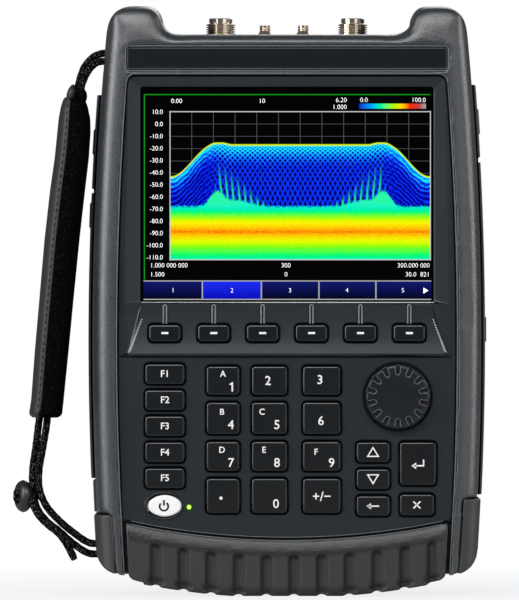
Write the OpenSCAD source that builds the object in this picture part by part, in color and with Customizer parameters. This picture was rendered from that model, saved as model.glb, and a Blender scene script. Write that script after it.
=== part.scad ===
// Handheld spectrum analyzer with a hand strap, standing upright.
// Millimetres, +Z up, +X to the right as seen from the front, the front faces -Y.
// The origin is the middle of the foot under the bottom bumper.

/* [Body] */
// Width of the body at its widest, without the doors
body_w = 190; // [180:1:205]
// Depth of the body from the front rails to the rear rails
body_d = 72; // [70:1:84]
// Radius of the bowed sides seen from the front
side_bow_r = 1665; // [1400:5:2400]
// Height at which the body is widest
bow_z = 125; // [110:1:140]
// Rounding along the long outer edges
edge_r = 10; // [6:0.5:11]
// Rounding of the horn tops towards the front and the back
top_edge_r = 13; // [8:0.5:13.5]
// Rounding of the outer corners seen from the front
corner_r = 12; // [8:0.5:14]
// Thickness of the side walls
wall = 6; // [5.5:0.5:7]
// Thickness of the rear wall
back_wall = 3; // [2.5:0.5:4]
// Depth of the front frame
front_depth = 27; // [25:0.5:28]
// Depth of the sunk field on the back
back_sink = 5; // [4.6:0.2:5.6]

/* [Heights] */
// Height of the bumper at its middle
bumper_h = 27.3; // [24:0.1:30]
// Height of the keypad field
keypad_h = 89.3; // [88:0.1:96]
// Height of the soft key shelf
shelf_h = 26.8; // [25:0.1:32]
// Height of the visible glass
screen_h = 105; // [95:0.5:112]
// Height of the bezel above the glass
bezel_top = 5.7; // [5:0.1:8]
// Bar between the bezel and the name strip
strip_gap = 2.4; // [2:0.1:4]
// Height of the name strip
strip_h = 11.5; // [9:0.5:13]
// Bar above the name strip
bar_top = 6.1; // [5.5:0.1:9]
// Height of the horns above the valley between them
horn_h = 14; // [12:0.5:16]
// Height of the rail ends above the base
rail_base = 10.5; // [9:0.5:12]

/* [Horns and top] */
// Width of the valley half way up the horns
valley_w = 122; // [112:1:126]
// Rounding of the valley's front and rear edges
valley_edge_r = 5; // [3:0.5:6]
// Thickness of the wall under the valley
top_wall = 5; // [4:0.5:6]
// Radius of the large port threads
port_r = 7.94; // [7:0.01:8.2]
// Length of the large port threads
port_l = 5.4; // [4:0.1:7]
// Distance of the outer ports from the middle
port_x = 32.5; // [30:0.5:36]
// Radius of the small port threads
small_port_r = 3.175; // [3:0.005:3.5]
// Length of the small port threads
small_port_l = 3.4; // [3:0.1:6]
// Distance of the small ports from their own middle
small_port_x = 9.4; // [8:0.1:12]
// Sideways place of the middle of the small ports
small_port_mid = -1.3; // [-3:0.1:3]
// Depth of the ports behind the middle plane
port_y = 7; // [5:0.5:10]

/* [Front panels] */
// Width of a rail seen from the front
rail_w = 11.8; // [11:0.1:13]
// How far the panels lie behind the rail fronts
panel_drop = 2.5; // [2:0.1:3]
// Thickness of the panels
panel_t = 3; // [2.8:0.1:3.6]
// Gap round the panels
panel_gap = 0.6; // [0.3:0.1:1]
// Width of the ledge that carries the panels
ledge_w = 3.2; // [2.6:0.1:3.6]
// Width of the visible glass
screen_w = 143; // [130:0.5:146]
// Width of the slope beside the glass
slope_side = 6; // [3:0.5:6]
// Width of the slope above the glass
slope_top = 4; // [2:0.5:4.5]
// Depth of the slope round the glass
slope_d = 1.5; // [1:0.1:1.6]
// Lip in front of the glass
glass_lip = 0.6; // [0.4:0.1:0.8]
// Thickness of the glass
glass_t = 1.8; // [1.4:0.1:2.4]
// Hidden edge of the glass behind the lip
glass_lap = 1.2; // [1:0.1:1.8]
// Rise of the soft key shelf at its lower edge
shelf_rise = 2.2; // [1:0.1:2.6]
// Width of the shelf at its lower edge
shelf_w = 155; // [152:0.5:156]
// Width of the shelf at its upper edge
shelf_top_w = 142; // [138:0.5:148]
// Width of the name strip
strip_w = 157; // [140:0.5:158]
// Thickness of the name strip
strip_t = 1; // [0.8:0.1:1.6]

/* [Keys] */
// Gap round each key
key_gap = 0.8; // [0.4:0.1:0.9]
// Travel of a key
key_travel = 1; // [0.6:0.1:1.4]
// Rise of the keys above the keypad plate
key_rise = 1.8; // [1:0.1:2.4]
// Rise of the soft keys above the shelf foot
soft_rise = 3.2; // [2.6:0.1:3.6]
// Corner radius of the keys
key_r = 1.7; // [1:0.1:2.4]
// Width of the ears that hold a key behind its plate
ear_w = 1.6; // [1.2:0.1:1.8]
// Thickness of the ears
ear_t = 1.2; // [1:0.1:1.4]
// Play between the ears and the plate
ear_play = 0.2; // [0.1:0.05:0.3]
// Number of soft keys
soft_count = 6; // [4:1:6]
// Width of a soft key
soft_w = 15.1; // [13:0.1:16]
// Height of a soft key
soft_key_h = 8; // [7:0.1:9]
// Distance between soft keys
soft_pitch = 23.84; // [22:0.02:24.4]
// Height of the soft key row above the seam
soft_up = 11.7; // [10:0.1:12]
// Number of function keys
function_count = 5; // [3:1:5]
// Width of a function key
function_w = 18.9; // [17:0.1:19.4]
// Height of a function key
function_h = 9.8; // [9:0.1:10.4]
// Distance between function keys
function_pitch = 12.7; // [12.2:0.1:12.9]
// Space above the first function key
function_top = 3.4; // [3:0.1:4]
// Left edge of the keypad
keypad_left = -69; // [-69.5:0.1:-68]
// Space between the function keys and the number keys
function_space = 11; // [10:0.1:11.4]
// Widths of the number keys by column
number_w = [15.8, 16.9, 18.1]; // [14:0.1:18.4]
// Space between the number key columns
number_space = [6.3, 8]; // [5.8:0.1:8.4]
// Heights of the number keys by row
number_h = [14, 15.5, 14.4, 16.9]; // [13:0.1:17.2]
// Space between the number key rows
row_space = 3.6; // [3:0.1:3.8]
// Space above the first row of number keys
number_top = 4.5; // [4:0.1:5]
// Space between the number keys and the arrow keys
arrow_space = 8.1; // [7.6:0.1:8.4]
// Width of the arrow and back keys
arrow_w = 15.8; // [14:0.1:16.2]
// Height of the arrow and back keys
arrow_h = 9.8; // [9:0.1:10.4]
// Distance between the arrow and back keys
arrow_pitch = 13.1; // [12.8:0.1:13.3]
// Depth of the upper arrow key below the seam
arrow_drop = 46.4; // [45.8:0.1:46.6]
// Space between the arrow keys and the enter key
enter_space = 5.3; // [4.8:0.1:5.6]
// Width of the enter key
enter_w = 17.3; // [15:0.1:17.6]
// Height of the enter key
enter_h = 21; // [18:0.1:21.6]
// Depth of the enter key below the seam
enter_drop = 52; // [51.6:0.1:52.4]
// Width of the escape key
escape_w = 16.4; // [15:0.1:17]
// Height of the escape key
escape_h = 10.4; // [9.6:0.1:10.6]
// Depth of the escape key below the seam
escape_drop = 72.1; // [71.6:0.1:72.2]
// Width of the oval power key
power_w = 16.2; // [15:0.1:16.8]
// Height of the oval power key
power_h = 10.6; // [9.6:0.1:10.8]
// Radius of the oval's ends
power_end_r = 3.9; // [3.6:0.1:4.2]
// Depth of the power key below the seam
power_drop = 72.6; // [72.2:0.1:72.8]
// Radius of the status lens
lens_r = 1; // [0.8:0.1:1.3]
// Distance of the status lens from the power key
lens_x = 11.8; // [11:0.1:12.4]

/* [Knob] */
// Radius of the tuning knob
knob_r = 15.7; // [14:0.1:16]
// Length of the knob in front of its well
knob_l = 8.2; // [6:0.1:10]
// Gap between the knob and its well
knob_gap = 1; // [0.6:0.1:1.2]
// Depth of the well
well_d = 1.5; // [1:0.1:1.6]
// Number of notches round the knob
notch_count = 14; // [8:1:18]
// Width of a notch
notch_w = 3; // [2:0.1:3.2]
// Length of a notch from the rim
notch_l = 4.5; // [3:0.1:5]
// Depth of a notch from the knob's face
notch_d = 5; // [3:0.1:6]
// Sideways place of the knob
knob_x = 54; // [53:0.1:55]
// Depth of the knob below the seam
knob_drop = 19.3; // [19:0.1:20]
// Radius of the encoder shaft
shaft_r = 3; // [2.5:0.1:3.2]
// Running clearance of the shaft
shaft_play = 0.06; // [0.03:0.01:0.09]

/* [Bumpers] */
// Radius of the bumper's bowed edges
bumper_bow_r = 370; // [340:5:420]
// Thickness of the bumper in front of and behind the body
bumper_t = 7; // [5:0.5:8]
// How far the bumper stands in front of the rails
bumper_proud = 1; // [0.5:0.1:2]
// Height of the bow cut off to make the foot flat
foot_flat = 1; // [0.6:0.1:1.4]
// Number of grooves
groove_count = 11; // [7:1:11]
// Distance between grooves
groove_pitch = 13.5; // [12:0.1:13.6]
// Sideways shift of the groove pattern
groove_shift = 3.4; // [3.2:0.1:3.8]
// Radius of the grooves
groove_r = 3.2; // [2.6:0.1:3.6]
// Depth of the grooves in the front
groove_d = 1.8; // [1:0.1:2.4]
// Depth of the grooves under the foot
groove_foot_d = 1; // [0.6:0.1:1.2]
// Height of the left rubber corner
left_corner_z = 39.5; // [38:0.5:40]
// Height of the right rubber corner
right_corner_z = 47.3; // [44:0.1:47.5]
// How far the corners stand out from the sides
corner_proud = 1.5; // [0.8:0.1:2]
// Width of the rubber corners at their top
corner_w = 7; // [6:0.1:7.4]
// How much wider the rubber corners are at the bottom
corner_flare = 3; // [2:0.1:3.2]

/* [Doors and stand] */
// How far the doors stand out from the sides
door_proud = 2.4; // [1.8:0.1:2.6]
// Depth of the doors below the side surface
door_sunk = 1.4; // [1.2:0.1:1.6]
// Width of a door from front to back
door_w = 27.6; // [26:0.1:28]
// Distance of the doors behind the split line
door_in = 2; // [1.8:0.1:2.4]
// Gap round the doors
door_gap = 0.35; // [0.3:0.05:0.5]
// Distance of the hinge line behind the door's edge
hinge_back = 3.4; // [3.2:0.05:3.8]
// Depth of the hinge line below the side surface
hinge_sunk = 1.6; // [1.5:0.05:1.7]
// Radius of the hinge pins
pin_r = 0.9; // [0.8:0.05:1]
// Running clearance on the pins
pin_play = 0.05; // [0.02:0.01:0.09]
// Radius of the door knuckles
knuckle_r = 1.9; // [1.8:0.05:2]
// Length of a door knuckle
knuckle_l = 10; // [6:0.5:10]
// Distance of the knuckles from the door's ends
knuckle_in = 6.4; // [6:0.1:7]
// Width of the tilt stand
stand_w = 90; // [80:1:100]
// Length of the tilt stand
stand_l = 104; // [90:1:106]
// Thickness of the tilt stand
stand_t = 4.2; // [3.6:0.1:4.3]
// Height of the stand's hinge line
stand_z = 150; // [148:1:160]
// Radius of the stand's pins
stand_pin_r = 1.25; // [1:0.05:1.3]

/* [Strap] */
// Radius of the strap cord
cord_r = 2; // [1.6:0.1:2.2]
// Radius of the holes that take the strap cord
cord_hole_r = 2.4; // [2.3:0.1:2.6]
// Radius of the rubber ring's round section
ring_r = 2.7; // [2.2:0.1:2.8]
// Radius of the ring at the middle of its section
ring_mid_r = 5.2; // [5:0.1:5.6]
// Radius of the knot
knot_r = 4; // [3.4:0.1:4.6]

/* [Hidden] */
$fn = 48;
bow_fn = 256;
slop = 1;
bite = 0.3;
rubber_gap = 0.3;
strip_fit = 0.25;
strip_corner_r = 1.6;
bezel_corner_r = 3.5;
pin_hole_play = 0.02;
bezel_rim = 1;
front_y = -body_d / 2;
back_y = body_d / 2;
split_y = front_y + front_depth;
panel_y = front_y + panel_drop;
panel_back_y = panel_y + panel_t;
back_in_y = back_y - back_sink - back_wall;

// Heights stacked from the foot upwards
seam_z = bumper_h + keypad_h;
screen_z = seam_z + shelf_h;
bezel_z = screen_z + screen_h + bezel_top;
strip_z = bezel_z + strip_gap;
valley_z = strip_z + strip_h + bar_top;
body_h = valley_z + horn_h;
cavity_z = valley_z - top_wall;

// The casing is as wide as asked, or as wide as its screen needs
case_w = max(body_w, screen_w + 2 * (bezel_rim + panel_gap + rail_w + bow(bezel_z)));

// Key stack behind the plates, front to back
ear_y = panel_back_y + ear_play;
key_back_y = ear_y + ear_t;
dome_y = key_back_y + key_travel + 0.1;
dome_h = 0.4;
sheet_t = 1;
sheet_y = dome_y + dome_h;
board_y = sheet_y + sheet_t;
board_t = 1.6;
dome_r = 2.6;
board_gap = 1.7;
board_low_z = bumper_h + 11.2;
board_high_z = screen_z - 7;
board_w = 2 * (side_x(board_low_z) - rail_w - ledge_w - board_gap);
glass_y = panel_y + slope_d + glass_lip;
module_y = glass_y + glass_t;
module_t = 9;
module_rim = 3;
module_gap = 0.3;
opening_low_z = bumper_h + 10.7;
opening_high_z = bezel_z - 2;
main_board_t = 1.6;
main_board_gap = 1.9;
main_board_low_z = opening_low_z + 4;
main_board_high_z = opening_high_z - 2;
main_back_y = split_y + main_board_t;
low_cavity_z = 50;
low_cavity_wall = wall + 5;
floor_wall = 5.5;
main_board_w = 2 * (side_x(main_board_low_z) - low_cavity_wall - main_board_gap);

// Keypad columns, rows and keys: name, x, z, width, height
function_x = keypad_left + function_w / 2;
number_left = keypad_left + function_w + function_space;
column_left = [
    number_left,
    number_left + number_w[0] + number_space[0],
    number_left + number_w[0] + number_space[0] + number_w[1] + number_space[1]
];
arrow_left = column_left[2] + number_w[2] + arrow_space;
arrow_x = arrow_left + arrow_w / 2;
enter_left = arrow_left + arrow_w + enter_space;
number_names = [["1", "2", "3"], ["4", "5", "6"], ["7", "8", "9"], ["point", "0", "sign"]];
function row_top(r) = r == 0 ? seam_z - number_top : row_top(r - 1) - number_h[r - 1] - row_space;
soft_z = seam_z + soft_up;
soft_keys = [for (i = [0 : soft_count - 1])
    [str("soft_key_", i + 1), (i - (soft_count - 1) / 2) * soft_pitch, soft_z, soft_w, soft_key_h]];
function_keys = [for (i = [0 : function_count - 1])
    [str("function_key_", i + 1), function_x,
        seam_z - function_top - function_h / 2 - i * function_pitch, function_w, function_h]];
number_keys = [for (r = [0 : 3]) for (c = [0 : 2])
    [str("number_key_", number_names[r][c]), column_left[c] + number_w[c] / 2,
        row_top(r) - number_h[r] / 2, number_w[c], number_h[r]]];
arrow_names = ["up_key", "down_key", "back_key"];
arrow_keys = [for (i = [0 : 2])
    [arrow_names[i], arrow_x, seam_z - arrow_drop - i * arrow_pitch, arrow_w, arrow_h]];
enter_key = ["enter_key", enter_left + enter_w / 2, seam_z - enter_drop, enter_w, enter_h];
escape_key = ["escape_key", enter_left + escape_w / 2, seam_z - escape_drop, escape_w, escape_h];
power_key = ["power_key", function_x, seam_z - power_drop, power_w, power_h];
plate_keys = concat(function_keys, number_keys, arrow_keys, [enter_key, escape_key]);
all_keys = concat(soft_keys, plate_keys, [power_key]);
knob_z = seam_z - knob_drop;
lens_at = [function_x + lens_x, power_key[2] - 0.6];
well_y = panel_y + well_d;
knob_back_y = well_y - 0.3;
encoder_w = 13;
bushing_r = shaft_r + 1.1;
boss_r = 2;
boss_columns = [
    (keypad_left + function_w + number_left) / 2,
    (column_left[2] + number_w[2] + arrow_left) / 2
];
boss_drop = 8.6;
boss_pitch = 48;
boss_rows = [seam_z - boss_drop, seam_z - boss_drop - boss_pitch];

// Doors: name, side, lower end, upper end, height of the pull
right_door_top = bezel_z - 4.1;
right_door_h = 35.5;
left_door_top = bezel_z - 9.1;
left_door_h = 46;
service_low_z = 49;
service_top = right_door_top - right_door_h - 2.5;
battery_low_z = 57;
battery_top = left_door_top - left_door_h - 2;
doors = [
    ["right_port_door", 1, right_door_top - right_door_h, right_door_top, right_door_top - 18],
    ["right_service_door", 1, service_low_z, service_top, service_top - 82],
    ["left_port_door", -1, left_door_top - left_door_h, left_door_top, left_door_top - 23],
    ["battery_door", -1, battery_low_z, battery_top, battery_top - 11]
];
door_y = split_y + door_in;
door_back_y = door_y + door_w;
hinge_y = door_back_y + hinge_back;
pin_in = 3.4;
groove_front_y = door_back_y - 2;
window_in = 7;
window_front_y = door_y + 4;
window_back_y = door_back_y - 5;
pull_l = 12;
pull_w = 3;
pull_h = 0.6;
jack_gap = 0.3;
jack_w = 13;
jack_h = 9.5;
jack_l = 14;
jack_wall = 2;
jack_slot_d = 6;
jack_slot_h = 3.2;
jack_pitch = 16;
card_w = 28;
card_slot_h = 2.6;
plug_w = 18;
pad_end_gap = 1;
pad_proud = 1.6;
battery_wall = 1.5;
battery_x = 76;
battery_door = doors[3];
shelf_z = battery_door[2] + window_in;
battery_gap = 3;
battery_side_gap = 2;
battery_h = battery_door[3] - window_in - shelf_z - battery_gap;

// Case screws and stand
screw_r = 1.5;
screw_head_r = 3;
screw_head_t = 3;
screw_bite = 9;
screw_boss_r = 5.5;
screw_x = 60;
screw_low_z = 23;
screw_high_z = strip_z + 2.5;
screw_head_y = back_y - bumper_t - screw_head_t;
recess_y = back_y - back_sink;
stand_hinge_y = recess_y + 0.3 + stand_t / 2;
lug_t = 6;
lug_gap = 0.4;
stand_pin_in = 8;

// Radio module and ports
radio_w = 100;
radio_h = 58;
radio_rib = 3;
radio_rib_in = 4;
radio_back_gap = 3;
radio_top_gap = 7;
radio_z = cavity_z - radio_top_gap - radio_h;
radio_back_y = back_in_y - radio_back_gap - radio_rib;
chip_t = 4;
chip_w = 30;
chip_x = 10;
chips = [[chip_x, seam_z - chip_w, chip_w, chip_w], [chip_x, seam_z + chip_w, 1.5 * chip_w, chip_w]];
port_base_r = port_r + 0.5;
small_port_base_r = small_port_r + 1;
port_hole_gap = 0.4;
port_base_z = valley_z + 0.5;
large_ports = [-port_x, port_x];
small_ports_x = [small_port_mid - small_port_x, small_port_mid + small_port_x];

// Strap: routes of the two cord strands and of the free end, chosen by hand
strap_y = -21.5;
route_side = 95;
strap_x = [route_side - case_w / 2, 0, 0];
front_strand_y = strap_y - 2.2;
rear_strand_y = strap_y + 2.2;
front_strand = [
    [-87, front_strand_y, 260], [-92, front_strand_y, 259.6], [-95.2, front_strand_y, 257.8],
    [-97.6, front_strand_y, 255], [-99.4, front_strand_y, 251.8], [-101, front_strand_y, 246],
    [-103.8, front_strand_y, 226], [-107.3, front_strand_y, 198], [-110.6, front_strand_y, 168],
    [-113.6, front_strand_y, 136], [-116.4, front_strand_y, 102], [-117.2, front_strand_y, 86],
    [-119.2, front_strand_y, 73], [-121.2, front_strand_y, 61], [-121, front_strand_y, 52],
    [-117.8, front_strand_y, 44], [-112, front_strand_y, 37.2], [-104.5, front_strand_y, 30.8],
    [-96.5, front_strand_y, 25.7], [-88.6, front_strand_y, 25.6]
];
rear_strand = [
    [-86, rear_strand_y, 265.8], [-90.6, rear_strand_y, 265.6], [-94.6, rear_strand_y, 264],
    [-97.6, rear_strand_y, 260.8], [-100, rear_strand_y, 256.4], [-102.4, rear_strand_y, 247],
    [-104.6, rear_strand_y, 226], [-108, rear_strand_y, 198], [-111.4, rear_strand_y, 168],
    [-115, rear_strand_y, 136], [-119, rear_strand_y, 102], [-121.2, rear_strand_y, 86],
    [-122.8, rear_strand_y, 73], [-124.4, rear_strand_y, 61], [-124.2, rear_strand_y, 50],
    [-122, rear_strand_y, 42], [-117.4, rear_strand_y, 36], [-111.6, rear_strand_y, 31.4],
    [-104.8, rear_strand_y, 25.4], [-97, rear_strand_y, 20.5], [-88.6, rear_strand_y, 20.4]
];
tail_y = front_strand_y - 4.4;
free_end = [
    [-124.6, rear_strand_y - 3, 49], [-124.2, tail_y + 1, 45.4], [-121.4, tail_y, 39.6],
    [-116.6, tail_y, 34.6], [-111.6, tail_y, 30.6], [-108, tail_y, 26], [-105.6, tail_y, 21.6],
    [-103.6, tail_y, 17.4]
];
ring_at = [-130.4, rear_strand_y, 48.4];
knot_at = ring_at - [4.6, 0, 0];

// Padded grip: x, z, half thickness, half depth of each section, from its upper end down
grip_sections = [
    [-101.4, 248.4, 3, 5.5], [-101.7, 246, 5, 8], [-102.4, 240, 6.6, 10.5], [-103.8, 226, 8, 12],
    [-105.2, 214, 8.4, 12.5], [-107.3, 198, 8.6, 12.5], [-110, 174, 8.6, 12.5],
    [-112.8, 144, 8.4, 12.5], [-115, 120, 8.3, 12.5], [-117.1, 96, 8, 12.2],
    [-118, 89.6, 7.8, 11.4], [-118.3, 87, 7, 10]
];
grip_sides = 20;
cord_sides = 10;

// How far the side lies in from its widest point at height z
function bow(z) = side_bow_r - sqrt(side_bow_r * side_bow_r - (z - bow_z) * (z - bow_z));
function side_x(z) = case_w / 2 - bow(z);
function lean(z) = asin((z - bow_z) / side_bow_r);
function door_mid(d) = (d[2] + d[3]) / 2;
function door_l(d) = d[3] - d[2];

// Extrudes a front view, drawn in x and z, from depth y0 to depth y1
module on_front(y0, y1) {
    translate([0, y1, 0]) rotate([90, 0, 0]) linear_extrude(y1 - y0) children();
}

// Extrudes a side view, drawn in y and z, from x0 to x1
module on_side(x0, x1) {
    translate([x0, 0, 0]) rotate([90, 0, 90]) linear_extrude(x1 - x0) children();
}

module both_sides() {
    children();
    mirror([1, 0, 0]) children();
}

module span(x0, x1, y0, y1, z0, z1) {
    translate([x0, y0, z0]) cube([x1 - x0, y1 - y0, z1 - z0]);
}

module rod_y(x, z, r, y0, y1) {
    translate([x, y1, z]) rotate([90, 0, 0]) cylinder(r = r, h = y1 - y0);
}

module rounded(x, z, w, h, r) {
    translate([x - w / 2 + r, z - h / 2]) square([w - 2 * r, h]);
    translate([x - w / 2, z - h / 2 + r]) square([w, h - 2 * r]);
    for (sx = [-1, 1]) for (sz = [-1, 1])
        translate([x + sx * (w / 2 - r), z + sz * (h / 2 - r)]) circle(r);
}

// What a rounded corner takes off: up is 1 for an upper and -1 for a lower right corner
module corner_cut(x, z, r, up = 1) {
    translate([x - r, z - up * r]) difference() {
        translate([0, up > 0 ? 0 : -2 * r]) square(2 * r);
        circle(r);
    }
}

// A front view between the bowed sides, moved in by inset
module bowed(inset, z0, z1) {
    intersection() {
        translate([case_w / 2 - side_bow_r, bow_z]) circle(side_bow_r - inset, $fn = bow_fn);
        translate([side_bow_r - case_w / 2, bow_z]) circle(side_bow_r - inset, $fn = bow_fn);
        translate([-case_w, z0]) square([2 * case_w, z1 - z0]);
    }
}

// A solid swept along the right side from depth out0 to out1, measured outwards from the surface
module side_slab(out0, out1, y0, y1, z0, z1) {
    sweep = 20;
    intersection() {
        translate([case_w / 2 - side_bow_r, 0, bow_z]) rotate([90, 0, 0]) rotate([0, 0, -sweep / 2])
            rotate_extrude(angle = sweep, $fn = bow_fn)
                translate([side_bow_r + out0, -y1]) square([out1 - out0, y1 - y0]);
        span(0, case_w, y0 - slop, y1 + slop, z0, z1);
    }
}

// Moves to the right side's surface at height z, with x outwards and z along the surface
module at_side(z) {
    translate([side_x(z), 0, z]) rotate([0, -lean(z), 0]) children();
}

// Right half of the bowed body with its rounded long edges
module side_shell(grow) {
    sweep = 20;
    inner = side_bow_r - 1.2 * case_w;
    translate([case_w / 2 - side_bow_r + grow, 0, bow_z]) rotate([90, 0, 0]) rotate([0, 0, -sweep / 2])
        rotate_extrude(angle = sweep, $fn = bow_fn) {
            translate([inner, front_y]) square([side_bow_r - edge_r - inner, body_d]);
            translate([inner, front_y + edge_r]) square([side_bow_r - inner, body_d - 2 * edge_r]);
            for (s = [-1, 1])
                translate([side_bow_r - edge_r, s * (back_y - edge_r)]) circle(edge_r);
        }
}

// Valley between the horns: two quarter arcs on each side make its S-shaped walls
module valley() {
    r = horn_h / 2;
    half = valley_w / 2;
    translate([-half + r, valley_z]) square([valley_w - 2 * r, horn_h + slop]);
    for (s = [-1, 1]) translate([s * (half - r), valley_z + r]) circle(r);
    translate([-half, valley_z + r]) square([valley_w, r + slop]);
    for (s = [0, 1]) mirror([s, 0]) difference() {
        translate([half - slop, valley_z + r]) square([r + slop, r + slop]);
        translate([half + r, valley_z + r]) circle(r);
    }
}

// What a rounded edge takes off between a surface at rho and the front, with the solid on the side of out
module edge_cut(rho, out) {
    r = valley_edge_r;
    mid = rho + out * (r - bite);
    difference() {
        translate([min(mid, rho - out * slop), front_y - slop]) square([r + slop - bite, r + slop - bite]);
        translate([mid, front_y + r - bite]) circle(r);
    }
}

// Rounding along the front of the valley: its floor, then the two arcs of each side wall
module valley_front_edge() {
    r = horn_h / 2;
    half = valley_w / 2;
    translate([-half + r, 0, valley_z]) rotate([90, 0, 90]) linear_extrude(valley_w - 2 * r)
        rotate(-90) mirror([0, 1]) edge_cut(0, 1);
    both_sides() {
        translate([half - r, 0, valley_z + r]) rotate([-90, 0, 0]) rotate_extrude(angle = 90) edge_cut(r, 1);
        translate([half + r, 0, valley_z + r]) rotate([-90, 0, 0]) rotate([0, 0, 180])
            rotate_extrude(angle = 90) edge_cut(r, -1);
    }
}

module body_outline(grow) {
    difference() {
        translate([-case_w, rail_base]) square([2 * case_w, body_h - rail_base]);
        valley();
        for (s = [0, 1]) mirror([s, 0]) {
            corner_cut(side_x(body_h - corner_r) + grow - bite, body_h, corner_r);
            corner_cut(side_x(rail_base + corner_r) + grow - bite, rail_base, corner_r, -1);
        }
    }
}

module body_profile() {
    difference() {
        translate([front_y, rail_base]) square([body_d, body_h - rail_base]);
        for (s = [0, 1]) mirror([s, 0]) corner_cut(back_y, body_h, top_edge_r);
    }
}

// Outside of the whole body, moved out at the sides by grow
module body_solid(grow = 0) {
    difference() {
        intersection() {
            side_shell(grow);
            mirror([1, 0, 0]) side_shell(grow);
            on_front(front_y, back_y) body_outline(grow);
            on_side(-case_w, case_w) body_profile();
        }
        valley_front_edge();
        mirror([0, 1, 0]) valley_front_edge();
    }
}

// Front view of the bumper, moved out at its top by lift
module bumper_outline(inset, lift) {
    difference() {
        intersection() {
            bowed(inset, -slop, bumper_h + bumper_bow_r / 8);
            translate([0, bumper_bow_r - foot_flat]) circle(bumper_bow_r, $fn = bow_fn);
            translate([-case_w, 0]) square([2 * case_w, bumper_bow_r]);
        }
        translate([0, bumper_h + lift + bumper_bow_r]) circle(bumper_bow_r, $fn = bow_fn);
    }
}

// Front view of what the bumper covers, down past the foot
module bumper_zone() {
    difference() {
        bowed(rail_w, -slop, bumper_h + bumper_bow_r / 8);
        translate([0, bumper_h + panel_gap + bumper_bow_r]) circle(bumper_bow_r, $fn = bow_fn);
    }
}

// Front view of a rubber corner on the right, moved out by grow
module corner_zone(top_z, grow) {
    left = side_x(top_z) - corner_w - grow;
    polygon([[left, top_z + grow], [case_w, top_z + grow], [case_w, 0], [left - corner_flare, 0]]);
}

module corner_zones(grow) {
    on_front(front_y - slop, back_y + slop) {
        corner_zone(right_corner_z, grow);
        mirror([1, 0]) corner_zone(left_corner_z, grow);
    }
}

// Holes for the strap cord, two in the upper left side and two in the left rubber corner
module cord_hole(p) {
    translate(p + strap_x - [20, 0, 0]) rotate([0, 90, 0]) cylinder(r = cord_hole_r, h = 22);
}

module case_screw_places() {
    for (x = [-screw_x, screw_x]) for (z = [screw_low_z, screw_high_z]) translate([x, 0, z]) children();
}

module strip_shape(grow) {
    rounded(0, strip_z + strip_h / 2, strip_w + 2 * grow, strip_h + 2 * grow, strip_corner_r);
}

// Room for the display module in the frame's ledge
module display_pocket() {
    half = screen_w / 2 + module_rim + module_gap;
    span(-half, half, panel_back_y - slop, split_y + slop, screen_z - module_rim - module_gap,
        screen_z + screen_h + module_rim + module_gap);
}

module front_frame() {
    color("#3b3e42") difference() {
        intersection() {
            body_solid();
            span(-case_w, case_w, front_y - slop, split_y, 0, body_h + slop);
        }
        on_front(front_y - slop, panel_back_y) difference() {
            bowed(rail_w, 0, bezel_z + panel_gap);
            for (s = [0, 1]) mirror([s, 0])
                corner_cut(side_x(bezel_z) - rail_w, bezel_z + panel_gap, bezel_corner_r + panel_gap);
        }
        on_front(front_y, split_y + slop) bowed(rail_w + ledge_w, opening_low_z, opening_high_z);
        display_pocket();
        on_front(front_y - slop, front_y + bumper_t) bumper_zone();
        on_front(front_y - slop, front_y + 2 * strip_t) strip_shape(strip_fit);
        corner_zones(rubber_gap);
        case_screw_places() rod_y(0, 0, screw_r + 0.05, split_y - screw_bite, split_y + slop);
        cord_hole(front_strand[0]);
        cord_hole(rear_strand[0]);
    }
}

module door_pocket(d) {
    l = door_l(d);
    mid = door_mid(d);
    side_slab(-door_sunk - 0.3, 2 * wall, door_y - door_gap, door_back_y + door_gap,
        d[2] - door_gap, d[3] + door_gap);
    side_slab(-wall - 2, 0, window_front_y, window_back_y, d[2] + window_in, d[3] - window_in);
    at_side(mid) {
        hinge_out = hinge_line(d);
        span(hinge_out - knuckle_r - 0.4, wall, groove_front_y, hinge_y + knuckle_r + 0.4,
            knuckle_in - l / 2 - 0.3, l / 2 - knuckle_in + 0.3);
        translate([hinge_out, hinge_y, -l / 2 + knuckle_in - pin_in])
            cylinder(r = pin_r + pin_hole_play, h = l - 2 * knuckle_in + 2 * pin_in);
    }
}

// Outward place of a door's hinge line in the frame of the door's middle
function knuckle_mid(d) = door_l(d) / 2 - knuckle_in - knuckle_l / 2;
function hinge_line(d) = -hinge_sunk - knuckle_mid(d) * knuckle_mid(d) / (2 * side_bow_r);

module on_door_side(d) {
    mirror([d[1] < 0 ? 1 : 0, 0, 0]) children();
}

module stand_lug() {
    x0 = stand_w / 2 + lug_gap;
    difference() {
        span(x0, x0 + lug_t, recess_y - slop, back_y - 0.4, stand_z - 4.4, stand_z + 4.4);
        translate([x0 - slop, stand_hinge_y, stand_z]) rotate([0, 90, 0])
            cylinder(r = stand_pin_r + pin_hole_play, h = lug_t);
    }
}

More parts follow.
